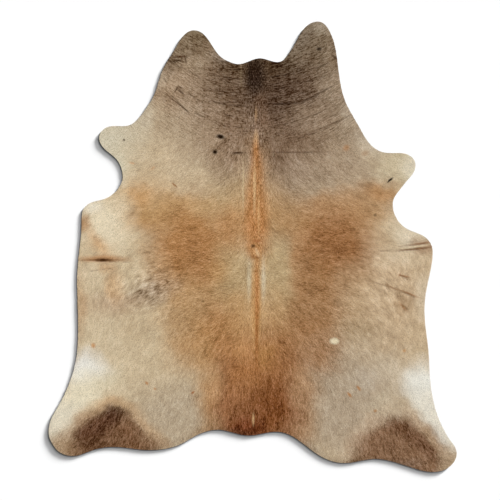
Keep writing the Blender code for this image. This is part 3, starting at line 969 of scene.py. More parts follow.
# %% Colours of the back, ribs and flanks
MIDDLE_PATCHES = (
    # name, x, y, half length, half width, turn, colour, strength, softness
    ("left side, warm", -0.72, -0.42, 0.2, 0.3, 0, "#C5B497", 0.6, 0.8),
    ("right side, sand", 0.66, -0.25, 0.3, 0.34, 0, "#BFA585", 0.8, 0.8),
    ("right ribs, pale", 0.73, -0.06, 0.08, 0.045, 0, "#D8C7AB", 0.55, 0.9),
    ("left chest, golden", -0.52, 0.27, 0.135, 0.095, 0, "#BC915E", 0.82, 0.8),
    ("left chest, brown", -0.555, 0.15, 0.095, 0.07, 0, "#AC8258", 0.7, 0.8),
    ("left shoulder blade, link", -0.38, 0.17, 0.22, 0.08, 0, "#B6915F", 0.7, 0.8),
    ("left shoulder blade, fawn", -0.29, -0.01, 0.22, 0.225, 0, "#A67748", 0.95, 0.5),
    ("left shoulder blade, core", -0.245, -0.095, 0.13, 0.1, -30, "#9E6E42", 0.75, 0.8),
    ("left shoulder blade, pale top", -0.25, 0.19, 0.075, 0.035, 0, "#C7A77A", 0.5, 0.9),
    ("left ribs, fawn", -0.22, -0.3, 0.22, 0.22, 0, "#A98459", 0.9, 0.55),
    ("left shoulder blade, lower core", -0.23, -0.13, 0.08, 0.06, -20, "#9A6A3F", 0.55, 0.9),
    ("left shoulder blade, outer edge", -0.44, -0.09, 0.04, 0.07, 0, "#BE9A72", 0.5, 0.9),
    ("left loin, brown", -0.14, -0.42, 0.11, 0.12, 0, "#9F7145", 0.75, 0.8),
    ("left haunch, golden", -0.25, -0.52, 0.15, 0.11, 0, "#A57A4B", 0.7, 0.8),
    ("right chest, orange", 0.64, 0.28, 0.1, 0.06, 0, "#B58553", 0.85, 0.8),
    ("right chest, link", 0.52, 0.2, 0.2, 0.08, 0, "#AE895E", 0.75, 0.8),
    ("right shoulder blade, top", 0.33, 0.14, 0.25, 0.12, 0, "#AD7C4A", 0.9, 0.7),
    ("right shoulder blade, brown", 0.392, -0.03, 0.195, 0.19, 0, "#976940", 0.95, 0.5),
    ("right shoulder blade, core", 0.41, -0.01, 0.12, 0.11, 0, "#93653E", 0.55, 0.8),
    ("right shoulder blade, inner edge", 0.225, 0.0, 0.045, 0.08, 0, "#BC9266", 0.55, 0.9),
    ("right ribs, brown", 0.28, -0.3, 0.18, 0.24, 0, "#9B7148", 0.9, 0.55),
    ("right ribs, gold gap", 0.205, -0.13, 0.035, 0.11, 0, "#B4865A", 0.45, 0.9),
    ("right haunch, fawn", 0.26, -0.52, 0.18, 0.16, 0, "#9D724A", 0.8, 0.6),
    ("left of the backbone, tan", -0.09, -0.12, 0.1, 0.15, 0, "#B39A72", 0.85, 0.7),
    ("left of the backbone, gold", -0.175, -0.11, 0.055, 0.055, 0, "#B48550", 0.45, 0.9),
    ("right of the backbone, tan", 0.115, -0.13, 0.085, 0.19, 0, "#B69D75", 0.9, 0.6),
    ("left of the backbone, fawn", -0.1, -0.265, 0.06, 0.05, 0, "#A17A4E", 0.5, 0.9),
    ("left of the backbone, low", -0.03, -0.4, 0.08, 0.14, 0, "#BF9868", 0.72, 0.8),
    ("right of the backbone, low", 0.09, -0.38, 0.08, 0.14, 0, "#BB9262", 0.65, 0.8),
    ("left of the backbone, high", -0.12, 0.24, 0.1, 0.12, 0, "#B0946C", 0.7, 0.8),
    ("left of the saddle, brown", -0.09, 0.105, 0.07, 0.1, 0, "#A87747", 0.7, 0.8),
    ("right of the backbone, high", 0.15, 0.2, 0.11, 0.12, 0, "#A6845B", 0.7, 0.8),
    ("left flank, cream", -0.742, 0.12, 0.122, 0.13, 0, "#DACCB0", 0.9, 0.8),
    ("left flank, pale corner", -0.805, 0.215, 0.05, 0.03, 0, "#E6DECB", 0.65, 0.9),
    ("right flank, cream", 0.79, 0.06, 0.1, 0.065, -20, "#D6C8AD", 0.85, 0.7),
    ("right flank, pale cream", 0.785, 0.045, 0.05, 0.03, 0, "#DDCEB6", 0.5, 0.9),
    ("right waist, sand", 0.87, -0.25, 0.045, 0.1, 0, "#D0C0A6", 0.65, 0.9),
    ("right flank edge, brown", 0.86, 0.01, 0.07, 0.03, 0, "#9C7B5C", 0.75, 0.8),
    ("left flank rim, brown", -0.845, 0.125, 0.025, 0.04, 0, "#9A7048", 0.8, 0.8),
    ("left ribs, grey", -0.525, -0.22, 0.13, 0.055, 20, "#8F7862", 0.66, 0.9),
    ("left belly, tan", -0.7, -0.28, 0.12, 0.05, 0, "#AC9073", 0.65, 0.9),
    ("left belly, tan end", -0.58, -0.385, 0.08, 0.105, 0, "#AE9878", 0.55, 0.9),
    ("left flank, rust streak", -0.8, 0.07, 0.08, 0.026, -58, "#C19A70", 0.45, 0.9),
    ("left flank, gold blotch", -0.76, 0.0, 0.06, 0.045, -20, "#B98D5C", 0.6, 0.9),
    ("left flank, tan under the fold", -0.73, -0.095, 0.05, 0.025, 0, "#B68D62", 0.5, 0.9),
    ("left flank, pale under the fold", -0.825, -0.12, 0.055, 0.045, 0, "#D6C5A8", 0.45, 0.9),
    ("left belly, rust", -0.685, -0.19, 0.04, 0.07, 0, "#BA9266", 0.55, 0.8),
    ("left belly rim, brown", -0.87, -0.29, 0.035, 0.13, 0, "#B3906A", 0.6, 0.8),
    ("right flank, light", 0.66, -0.17, 0.11, 0.09, 0, "#CDB392", 0.35, 0.9),
    ("right flank, tan", 0.735, -0.305, 0.045, 0.04, 0, "#AC8E6B", 0.45, 0.9),
    ("right ribs, grey tan", 0.52, -0.41, 0.08, 0.06, 0, "#A28967", 0.6, 0.8),
    ("right ribs, sand gap", 0.51, -0.17, 0.08, 0.08, 0, "#BCA07C", 0.6, 0.9),
    ("right chest, brown grey", 0.42, 0.37, 0.08, 0.05, 0, "#967A58", 0.6, 0.8),
    ("right ribs, tan", 0.52, -0.285, 0.06, 0.05, 0, "#A68862", 0.5, 0.9),
)
print(len(MIDDLE_PATCHES), "patches in the middle")

# %% Colours of the rump and the hind legs
REAR_PATCHES = (
    # name, x, y, half length, half width, turn, colour, strength, softness
    ("right ham, grey beige", 0.49, -0.78, 0.3, 0.28, 0, "#A8967F", 0.9, 0.6),
    ("left ham, grey beige", -0.36, -0.86, 0.26, 0.2, 0, "#AB9A82", 0.85, 0.7),
    ("left ham, rear edge", -0.27, -0.935, 0.08, 0.04, 30, "#8F7A60", 0.6, 0.9),
    ("rump, gold border", -0.215, -0.76, 0.055, 0.17, 0, "#BB9462", 0.65, 0.9),
    ("rump, tan border", 0.268, -0.81, 0.06, 0.14, 0, "#A07B55", 0.65, 0.9),
    ("right ham, pale", 0.655, -0.79, 0.065, 0.05, 0, "#C6B69B", 0.6, 0.9),
    ("right thigh, pale", 0.69, -0.615, 0.08, 0.075, 0, "#D0C1A9", 0.55, 0.9),
    ("right thigh, pale inside", 0.545, -0.655, 0.06, 0.05, 0, "#C0B29E", 0.5, 0.9),
    ("right ham, rear rim", 0.27, -0.985, 0.075, 0.025, -35, "#8C7A66", 0.6, 0.9),
    ("right haunch, tan", 0.335, -0.55, 0.075, 0.07, 0, "#9A6F48", 0.7, 0.9),
    ("rump, brown", 0.01, -0.78, 0.235, 0.32, 0, "#8C5933", 0.92, 0.45),
    ("rump, pale right border", 0.22, -0.685, 0.045, 0.085, 0, "#B8946E", 0.65, 0.9),
    ("rump, pale left border", -0.195, -0.7, 0.035, 0.08, 0, "#BE966A", 0.5, 0.9),
    ("rump, upper", 0.02, -0.58, 0.16, 0.14, 0, "#A77344", 0.7, 0.8),
    ("rump, right side", 0.12, -0.72, 0.09, 0.22, 0, "#83542F", 0.5, 0.8),
    ("rump, right rear", 0.205, -0.925, 0.045, 0.055, 0, "#AC8A66", 0.58, 0.9),
    ("rump, left rear", -0.18, -0.905, 0.045, 0.035, 0, "#7E5D3C", 0.5, 0.9),
    ("croup, gold on the right", 0.065, -0.535, 0.04, 0.05, 0, "#B58751", 0.5, 0.9),
    ("croup, gold", -0.05, -0.505, 0.05, 0.05, 0, "#C39463", 0.5, 0.9),
    ("rump, red brown", 0.085, -0.83, 0.12, 0.15, 0, "#6E3D18", 0.72, 0.8),
    ("tail, dark", -0.03, -0.932, 0.085, 0.064, 0, "#643216", 0.92, 0.8),
    ("left stifle, white", -0.825, -0.61, 0.092, 0.085, 0, "#DEDDD8", 0.95, 0.7),
    ("left thigh, cream", -0.84, -0.74, 0.16, 0.12, 40, "#DACFB4", 0.9, 0.7),
    ("left thigh, sand", -0.735, -0.665, 0.05, 0.05, 0, "#C2B394", 0.5, 0.9),
    ("left shank, cream", -0.96, -0.88, 0.12, 0.14, 0, "#D4CBB6", 0.9, 0.6),
    ("right stifle, white", 0.86, -0.67, 0.1, 0.09, 0, "#E2E0D6", 0.95, 0.7),
    ("right shank, cream", 0.93, -0.86, 0.1, 0.2, 28, "#DDD7C8", 0.9, 0.6),
    ("left hock, halo left", -0.82, -0.855, 0.14, 0.048, 42, "#B49168", 0.7, 0.8),
    ("left hock, halo right", -0.545, -0.905, 0.16, 0.05, -50, "#AD8A62", 0.5, 0.8),
    ("left hock, halo crest", -0.7, -0.785, 0.08, 0.035, 0, "#BE9B72", 0.6, 0.9),
    ("left hock, brown", -0.718, -1.03, 0.2, 0.212, 0, "#745238", 0.95, 0.3),
    ("left hock, dark band", -0.79, -0.925, 0.118, 0.055, 42, "#50321F", 0.85, 0.8),
    ("left hock, right band", -0.59, -0.92, 0.12, 0.045, -50, "#69482E", 0.6, 0.8),
    ("left hock, outer rim", -0.54, -0.885, 0.1, 0.022, -50, "#BFA280", 0.6, 0.9),
    ("left hock, rear edge", -0.525, -1.005, 0.085, 0.035, 15, "#6E4C30", 0.6, 0.9),
    ("left hock, crest", -0.712, -0.848, 0.05, 0.036, 20, "#40220F", 0.75, 0.9),
    ("left hock, dark instep", -0.78, -1.005, 0.08, 0.045, 0, "#51351F", 0.75, 0.9),
    ("left foot, tan", -0.955, -1.0, 0.075, 0.07, 0, "#957858", 0.8, 0.8),
    ("right hock, halo left", 0.57, -0.93, 0.15, 0.045, 48, "#B2967A", 0.5, 0.8),
    ("right hock, halo right", 0.89, -0.95, 0.16, 0.034, -50, "#B3946F", 0.65, 0.8),
    ("right hock, pale over the crest", 0.762, -0.832, 0.05, 0.025, 0, "#C6B196", 0.5, 0.9),
    ("right hock, brown", 0.745, -1.065, 0.225, 0.205, 0, "#7E5C42", 0.92, 0.3),
    ("right hock, crest", 0.765, -0.925, 0.11, 0.045, -24, "#67472F", 0.75, 0.8),
    ("right hock, right band", 0.875, -1.005, 0.09, 0.045, -50, "#6A4A33", 0.65, 0.8),
    ("right hock, outer rim", 0.888, -0.94, 0.09, 0.022, -50, "#BBA080", 0.55, 0.9),
    ("right hock, inner rim", 0.58, -0.88, 0.06, 0.03, 45, "#C2AD92", 0.5, 0.9),
    ("right hock, left band", 0.565, -1.04, 0.08, 0.045, 42, "#7E5E44", 0.5, 0.8),
    ("right hock, grey heel", 0.7, -1.105, 0.095, 0.035, 0, "#65554A", 0.65, 0.9),
    ("right hock, toe", 0.495, -1.08, 0.09, 0.03, 0, "#6F553B", 0.8, 0.9),
    ("right foot, tan", 1.0, -1.08, 0.06, 0.06, 0, "#AA9377", 0.7, 0.8),
    ("rump, rear edge", -0.1, -0.955, 0.09, 0.03, 0, "#5C3E2A", 0.75, 0.9),
)
print(len(REAR_PATCHES), "patches at the rear")

# %% Colours along the backbone
SPINE_PATCHES = (
    # name, x, y, half length, half width, turn, colour, strength, softness
    ("mane, black brown", 0.01, 0.865, 0.044, 0.088, 0, "#1E0E05", 0.9, 0.7),
    ("mane, pale hairline", -0.058, 0.87, 0.005, 0.06, 0, "#8E7A60", 0.5, 0.9),
    ("crest, bright orange line", 0.0165, 0.655, 0.006, 0.035, 0, "#B58F62", 0.55, 0.8),
    ("crest, mauve", 0.017, 0.595, 0.016, 0.05, 0, "#967C68", 0.6, 0.8),
    ("leaf, pale tip", 0.0165, 0.545, 0.01, 0.035, 0, "#CBAE86", 0.65, 0.9),
    ("leaf, tip", 0.016, 0.49, 0.013, 0.06, 0, "#AC7440", 0.72, 0.9),
    ("leaf, upper part", 0.019, 0.38, 0.028, 0.1, 0, "#B07640", 0.72, 0.8),
    ("leaf, halo", 0.03, 0.19, 0.105, 0.15, 0, "#B68D5D", 0.55, 0.8),
    ("leaf, widest part", 0.016, 0.195, 0.054, 0.16, 0, "#AD7541", 0.8, 0.6),
    ("leaf, lower part", 0.018, 0.09, 0.056, 0.1, 0, "#B27B48", 0.7, 0.6),
    ("leaf, strand left", -0.047, 0.3, 0.004, 0.12, 0, "#D2BE96", 0.4, 0.8),
    ("leaf, strand in the middle", 0.009, 0.29, 0.007, 0.11, 0, "#DFC090", 0.55, 0.9),
    ("leaf, strand right", 0.03, 0.18, 0.005, 0.1, 0, "#D6AE78", 0.5, 0.9),
    ("knot, orange", 0.013, -0.01, 0.046, 0.052, 0, "#A87645", 0.8, 0.5),
    ("knot, shade on the right", 0.07, 0.0, 0.026, 0.045, 0, "#A3774A", 0.5, 0.9),
    ("loin, gold on the right", 0.045, -0.08, 0.022, 0.04, 0, "#BB8E5A", 0.5, 0.9),
    ("loin, strip", 0.017, -0.265, 0.025, 0.23, 0, "#BA8D59", 0.85, 0.5),
    ("loin, dark middle", 0.021, -0.25, 0.01, 0.19, 0, "#AA6D3A", 0.6, 0.8),
    ("loin, pale line left", -0.018, -0.155, 0.009, 0.075, 0, "#CFC2A6", 0.5, 0.9),
    ("loin, pale line right", 0.054, -0.15, 0.009, 0.085, 0, "#D3C7AE", 0.5, 0.9),
    ("croup, rust line", 0.02, -0.465, 0.008, 0.13, 0, "#935B2D", 0.6, 0.8),
)
print(len(SPINE_PATCHES), "patches along the backbone")

# %% [markdown]
# ## Small marks
#
# A real hide is never clean: there are dark spots, orange freckles, scars and a knot of dark hair behind the
# shoulders. The painted shade at the bottom of the deepest folds is here too, as dark lines. Marks are
# painted last and by the point's own position, not by its root's, so that they stay as small and sharp as
# they are.

# %% Marks on the coat
MARKS = (
    # name, x, y, half length, half width, turn, colour, strength, softness
    ("neck, dark spot", -0.16, 0.55, 0.018, 0.01, -15, "#150C07", 1.0, 0.6),
    ("neck, small dark spot", -0.188, 0.473, 0.011, 0.01, 0, "#1A100A", 1.0, 0.6),
    ("left foreleg, dark spot", -0.643, 0.533, 0.006, 0.006, 0, "#4A3A2C", 0.8, 0.6),
    ("right neck lobe, dark spot", 0.332, 0.988, 0.012, 0.008, 0, "#221811", 0.85, 0.6),
    ("right chest, dark spot", 0.612, 0.158, 0.007, 0.007, 0, "#46311F", 0.6, 0.6),
    ("right chest, tick", 0.687, 0.333, 0.018, 0.005, 40, "#20160F", 1.0, 0.6),
    ("left shoulder, tick", -0.39, 0.308, 0.016, 0.004, -40, "#8A5A30", 0.8, 0.6),
    ("left armpit, orange squiggle", -0.603, 0.418, 0.014, 0.005, -15, "#C08A58", 0.5, 0.7),
    ("left armpit, orange hook", -0.498, 0.393, 0.012, 0.005, 40, "#C08A58", 0.45, 0.7),
    ("right shoulder, orange freckle", 0.467, 0.493, 0.016, 0.013, 30, "#AC7A4E", 0.6, 0.8),
    ("right shoulder, brown freckle", 0.562, 0.467, 0.016, 0.011, 30, "#A07C58", 0.5, 0.9),
    ("left belly, orange freckle", -0.796, -0.494, 0.01, 0.012, 0, "#BC8650", 0.75, 0.7),
    ("left thigh, orange freckle", -0.529, -0.682, 0.01, 0.006, -45, "#A97748", 0.8, 0.7),
    ("left thigh, small freckle", -0.488, -0.711, 0.007, 0.006, 0, "#A97748", 0.7, 0.7),
    ("left ham, tick", -0.299, -0.729, 0.01, 0.005, 40, "#94582F", 0.85, 0.6),
    ("right belly, freckle", 0.758, -0.52, 0.007, 0.007, 0, "#B98A58", 0.7, 0.7),
    ("right thigh, bar", 0.53, -0.707, 0.014, 0.006, -50, "#A6713F", 0.8, 0.7),
    ("right thigh, lower bar", 0.484, -0.74, 0.014, 0.006, -50, "#A6713F", 0.8, 0.7),
    ("right thigh, freckle", 0.613, -0.821, 0.008, 0.007, 0, "#A87748", 0.7, 0.7),
    ("left loin, dark dot", -0.248, -0.272, 0.008, 0.006, 0, "#5E4326", 0.6, 0.6),
    ("right loin, cream spot", 0.409, -0.472, 0.022, 0.015, 0, "#DDD0B0", 0.95, 0.5),
    ("saddle, dark spot", 0.002, 0.003, 0.01, 0.009, 0, "#4E301C", 0.85, 0.7),
    ("saddle, right spot", 0.067, -0.012, 0.008, 0.007, 0, "#7E5E40", 0.5, 0.8),
    ("saddle, lower left spot", 0.004, -0.05, 0.008, 0.008, 0, "#83502B", 0.6, 0.8),
    ("saddle, lower right spot", 0.027, -0.054, 0.01, 0.007, 0, "#7A4824", 0.7, 0.8),
    ("saddle, upper bar", 0.02, 0.028, 0.022, 0.007, 0, "#98603A", 0.7, 0.7),
    ("saddle, pale curl", 0.024, -0.03, 0.008, 0.02, 20, "#DDBE94", 0.65, 0.8),
    # The left belly fold: a brown band, then its painted shade as a thin line and a darkest part.
    ("left belly fold, brown", -0.755, -0.062, 0.1, 0.014, 0, "#A86E38", 0.7, 0.9),
    ("left belly fold, thin line", -0.76, -0.067, 0.105, 0.0035, 0, "#68401C", 0.6, 0.9),
    ("left belly fold, darkest", -0.748, -0.067, 0.034, 0.008, 0, "#341604", 0.9, 0.9),
    ("right flank, pale ridge", 0.803, -0.002, 0.085, 0.004, 9, "#D8C6A6", 0.75, 0.8),
    # The two brown lines are painted shade in the creases over and under the ridge.
    ("right flank, brown over the ridge", 0.852, 0.018, 0.046, 0.004, 8, "#83522C", 0.6, 0.9),
    ("right flank, brown under the ridge", 0.82, -0.011, 0.08, 0.004, 6, "#754A26", 0.6, 0.9),
    ("right flank, brown nick", 0.755, -0.147, 0.024, 0.0045, -12, "#8A5222", 0.65, 0.9),
    ("right flank, brown line", 0.785, -0.236, 0.042, 0.004, -23, "#8A5222", 0.6, 0.9),
    ("right ribs, start of the brown line", 0.697, -0.204, 0.032, 0.004, -25, "#7C5432", 0.55, 0.9),
    ("right flank, low brown nick", 0.752, -0.3, 0.024, 0.0055, -45, "#8A5628", 0.55, 0.9),
    ("right flank, small brown tick", 0.735, -0.14, 0.012, 0.004, 60, "#8A5628", 0.5, 0.9),
    ("rump, lower pale tuft", 0.003, -0.862, 0.005, 0.026, 0, "#D2AC7C", 0.75, 0.9),
    # From here on, the rows paint the shade at the bottom of the folds of the neck, throat and shoulder as
    # dark lines.
    ("left neck, scratch's line", -0.378, 0.718, 0.075, 0.003, -37, "#42200C", 0.7, 0.8),
    ("left neck, dark fold", -0.366, 0.948, 0.038, 0.005, 5, "#402410", 0.8, 0.9),
    ("left neck, dark fold's lower line", -0.368, 0.93, 0.03, 0.0035, -12, "#402410", 0.65, 0.9),
    ("left neck, dark fold's end", -0.335, 0.93, 0.0045, 0.018, 10, "#402410", 0.65, 0.9),
    ("left neck, upper curl", -0.382, 0.785, 0.018, 0.0035, 62, "#44240F", 0.75, 0.9),
    ("left neck, curl's arch", -0.362, 0.796, 0.014, 0.0035, -20, "#44240F", 0.65, 0.9),
    ("left neck, lower curl", -0.356, 0.77, 0.02, 0.0035, -35, "#44240F", 0.75, 0.9),
    ("right throat, fold's inner line", 0.15, 0.716, 0.09, 0.0032, 1, "#2C160A", 0.5, 0.8),
    ("right throat, fold's outer line", 0.325, 0.764, 0.1, 0.0034, 27, "#341C0E", 0.55, 0.8),
    ("right shoulder, fold's line", 0.342, 0.592, 0.165, 0.003, 23, "#482C1A", 0.42, 0.8),
    ("right of the withers, line", 0.222, 0.473, 0.17, 0.0028, 0, "#4A2E1C", 0.28, 0.8),
    ("left throat, short dark line", -0.072, 0.469, 0.028, 0.0042, 0, "#34160A", 0.65, 0.8),
    ("left throat, upper line", -0.113, 0.838, 0.085, 0.0028, 0, "#301A0E", 0.5, 0.8),
    ("left throat, middle line", -0.103, 0.722, 0.06, 0.0032, 0, "#30180C", 0.5, 0.8),
    ("right neck, dark fold at the rim", 0.412, 0.946, 0.022, 0.005, -35, "#402410", 0.75, 0.9),
)
print(len(MARKS), "marks")

# %% [markdown]
# ## The coat as a node group
#
# The group walks down the tables. For each row, vector maths turns the place into one that is measured from
# the patch's middle, along and across it, in its own half sizes: by a division, or by two dot products
# where the patch is turned. Its length says how far out it is, a smooth Map Range turns that into how much
# the patch covers, and a Mix node lays the colour on. A Mapping or a Vector Rotate node would save a step,
# but Cycles would then keep every patch's place in its small memory at once. Even so, about 235 patches are
# the most that it can hold, and with more the whole hide renders black. Before all that, noises shift the
# place a little, so that no border is a clean oval.
#
# After the patches come cloudiness and streaks. Most streaks are carried by the locks. The finest are noises
# of the group's own: wrinkles and lines that rise across the neck, with painted shade in the wrinkles'
# furrows, and strands beside the backbone.
# The darker the hair, the stronger it is streaked, as in the photo, where the pale flanks are smooth and the
# neck is coarse. Then come the marks and the painted shade in the creases. Last, a little is taken off every
# colour, because the hair's gloss adds that much light to what is seen.

# %% Give every patch an uneven border
WARP_BROAD = (0.15, 0.110)  # size of the noise and how far it shifts, in metres
WARP_FINE = (0.022, 0.022)
MARK_WARP = (0.010, 0.006)


def shifted(tree, place, warp):
    """The place moved by a noise, so that what is painted there gets an uneven border."""
    size, distance = warp
    grains = {"Vector": place, "Scale": 1 / size, "Detail": 2.0}
    noise = node(tree, "ShaderNodeTexNoise", grains, output="Color")
    centred = node(tree, VECTOR_MATHS, (noise, (0.5, 0.5, 0.5)), operation="SUBTRACT")
    scaled = node(tree, VECTOR_MATHS, {0: centred, "Scale": distance}, operation="SCALE")
    return node(tree, VECTOR_MATHS, (place, scaled), operation="ADD")


print("borders stray by up to", round(WARP_BROAD[1] / 2 + WARP_FINE[1] / 2, 3), "m")

# %% Paint the rows of a table
def from_middle(tree, place, x, y, half_length, half_width, turn):
    """The place as seen from a patch's middle, along and across it, in its own half sizes."""
    local = node(tree, VECTOR_MATHS, (place, (x, y, 0)), operation="SUBTRACT")
    if not turn:
        return node(tree, VECTOR_MATHS, (local, (half_length, half_width, 1)), operation="DIVIDE")
    cosine, sine = math.cos(math.radians(turn)), math.sin(math.radians(turn))
    lengthwise = (cosine / half_length, sine / half_length, 0)
    crosswise = (-sine / half_width, cosine / half_width, 0)
    return node(tree, "ShaderNodeCombineXYZ", [
        node(tree, VECTOR_MATHS, (local, axis), output="Value", operation="DOT_PRODUCT")
        for axis in (lengthwise, crosswise)
    ])


def painted(tree, colour, place, rows):
    """Lays the patches of a table over a colour, one after the other."""
    for _, x, y, half_length, half_width, turn, patch_colour, strength, softness in rows:
        local = from_middle(tree, place, x, y, half_length, half_width, turn)
        cover = node(tree, MAP_RANGE, {
            "Value": node(tree, VECTOR_MATHS, (local,), output="Value", operation="LENGTH"),
            "From Min": 1 - softness,
            "From Max": 1 + softness,
            "To Min": strength,
            "To Max": 0.0,
        }, interpolation_type="SMOOTHSTEP")
        layers = {MIX_FACTOR: cover, MIX_A: colour, MIX_B: linear(patch_colour)}
        colour = node(tree, "ShaderNodeMix", layers, output=MIX_RESULT, data_type="RGBA")
    return colour


print("base colour", BASE_COLOUR)

# %% Make clouds and fine grains
NOISE_LOW, NOISE_HIGH = 0.25, 0.75  # most of a noise lies between these
NOISE_GAIN = 8.0  # gives a noise a spread of about 1


def noise_between(tree, place, size, low, high):
    """A soft noise of this size, stretched to run from low to high."""
    noise = node(tree, "ShaderNodeTexNoise", {"Vector": place, "Scale": 1 / size, "Detail": 3.0})
    return node(tree, MAP_RANGE, (noise, NOISE_LOW, NOISE_HIGH, low, high), clamp=False)


def drawn_out(tree, place, length_x, length_y):
    """A noise with grains of this length along each axis, round 0 and with a spread of about 1."""
    grains = node(tree, VECTOR_MATHS, (place, (length_x, length_y, 1)), operation="DIVIDE")
    noise = node(tree, "ShaderNodeTexNoise", {"Vector": grains, "Scale": 1.0, "Detail": 1.0})
    return node(tree, MATHS, (noise, NOISE_GAIN, -NOISE_GAIN / 2), operation="MULTIPLY_ADD")


print("noises ready")

# %% Draw the finest lines of the neck and the backbone
LINES_Y = (0.42, 0.62)  # where they begin on the neck, and where they are full
LINES_GAIN = 0.9
LINE_GRAIN = (0.017, 0.005)
# The wrinkles' darkness is painted shade in their furrows.
WRINKLES_GAIN = 1.9
WRINKLE_GRAIN = (0.060, 0.013)
WRINKLE_EDGE = 0.65
BESIDE_WRINKLES = 0.25  # the hair between wrinkles is paler by this share of their darkness
LINES_LOST = 0.60  # share of the lines that the strands of the backbone cover
STRANDS_X = (0.110, 0.010)
STRANDS_Y = (-0.60, -0.05)
STRANDS_GAIN = 1.7
STRAND_GRAIN = (0.0032, 0.013)


def fine_lines(tree, position):
    """Wrinkles and fine lines across the neck, rising to its sides, with painted shade in the wrinkles, and
    fine strands along the backbone.
    """
    x, y, _ = node(tree, "ShaderNodeSeparateXYZ", (position,)).node.outputs
    aside = node(tree, MATHS, (x, SPINE_X), operation="SUBTRACT")
    aside = node(tree, MATHS, (aside,), operation="ABSOLUTE")
    squared = node(tree, MATHS, (aside, aside), operation="MULTIPLY")
    risen = node(tree, MATHS, (squared, -WRINKLE_RISE, y), operation="MULTIPLY_ADD")
    bent = node(tree, "ShaderNodeCombineXYZ", (x, risen))
    # painted shade in the wrinkles' furrows
    crest = node(tree, MATHS, (drawn_out(tree, bent, *WRINKLE_GRAIN),), operation="ABSOLUTE")
    shades = (-WRINKLES_GAIN, WRINKLES_GAIN * BESIDE_WRINKLES)
    lines = node(tree, MAP_RANGE, (crest, 0.0, WRINKLE_EDGE, *shades))
    grains = drawn_out(tree, bent, *LINE_GRAIN)
    lines = node(tree, MATHS, (grains, LINES_GAIN, lines), operation="MULTIPLY_ADD")
    on_neck = node(tree, MAP_RANGE, (y, *LINES_Y), interpolation_type="SMOOTHSTEP")
    lines = node(tree, MATHS, (lines, on_neck), operation="MULTIPLY")
    on_spine = node(tree, MAP_RANGE, (aside, *STRANDS_X), interpolation_type="SMOOTHSTEP")
    lines_left = node(tree, MATHS, (on_spine, -LINES_LOST, 1.0), operation="MULTIPLY_ADD")
    lines = node(tree, MATHS, (lines, lines_left), operation="MULTIPLY")
    on_back = node(tree, MAP_RANGE, (y, *STRANDS_Y), interpolation_type="SMOOTHSTEP")
    on_back = node(tree, MATHS, (on_spine, on_back), operation="MULTIPLY")
    on_back = node(tree, MATHS, (on_back, STRANDS_GAIN), operation="MULTIPLY")
    grains = drawn_out(tree, position, *STRAND_GRAIN)
    return node(tree, MATHS, (grains, on_back, lines), operation="MULTIPLY_ADD")


print("finest grain", STRAND_GRAIN[0] * 1000, "mm across")

# %% Streak the coat
STREAK_GAIN = 1.40
CONTRAST_POWER, CONTRAST_GAIN, CONTRAST_LOSS = -0.5, 0.110, -0.115  # brightness to contrast
PALE_TINT = (1.0, 1.18, 1.35)  # pale hairs are cream and dark ones brown, so blue changes most
DARK_TINT = (1.0, 1.12, 1.22)
DARKEST_STREAK = -0.75
GREY_SHARE = 0.25  # pale hairs are greyer, too


def streaked(tree, colour, position):
    """The colour made paler and darker from hair to hair."""
    brightness = node(tree, "ShaderNodeRGBToBW", (colour,))
    contrast = node(tree, MATHS, (brightness, CONTRAST_POWER), operation="POWER")
    contrast = node(tree, MATHS, (contrast, CONTRAST_GAIN, CONTRAST_LOSS), operation="MULTIPLY_ADD")
    grain = node(tree, "ShaderNodeAttribute", output="Fac", attribute_name="grain")
    streaks = node(tree, "ShaderNodeAttribute", output="Fac", attribute_name="streak")
    value = node(tree, MATHS, (grain, streaks), operation="ADD")
    value = node(tree, MATHS, (value, fine_lines(tree, position)), operation="ADD")
    contrast = node(tree, MATHS, (contrast, STREAK_GAIN), operation="MULTIPLY")
    value = node(tree, MATHS, (value, contrast), operation="MULTIPLY")
    layers = {MIX_FACTOR: GREY_SHARE, MIX_A: colour, MIX_B: brightness}
    greyer = node(tree, "ShaderNodeMix", layers, output=MIX_RESULT, data_type="RGBA")
    darker = node(tree, MATHS, (value, DARKEST_STREAK), operation="MAXIMUM")
    darker = node(tree, MATHS, (darker, 0.0), operation="MINIMUM")
    paler = node(tree, MATHS, (value, 0.0), operation="MAXIMUM")
    for source, tint, amount in ((greyer, PALE_TINT, paler), (colour, DARK_TINT, darker)):
        change = node(tree, VECTOR_MATHS, (source, tint), operation="MULTIPLY")
        colour = node(tree, VECTOR_MATHS, (change, amount, colour), operation="MULTIPLY_ADD")
    return colour


print("streaks at", STREAK_GAIN, "times their carried strength")

# %% Build the group
CLOUD_SIZES = (0.075, 0.020)
CLOUD_CHANGE = (0.95, 1.05)
CREASE_SHADE = (-0.66, -0.76, -0.84)  # the shade at the roots is brown
GLOSS_BACK = (-0.005, -0.004, -0.003)  # the gloss gives this much light back
DARKEST = (0.009, 0.003, 0.001)


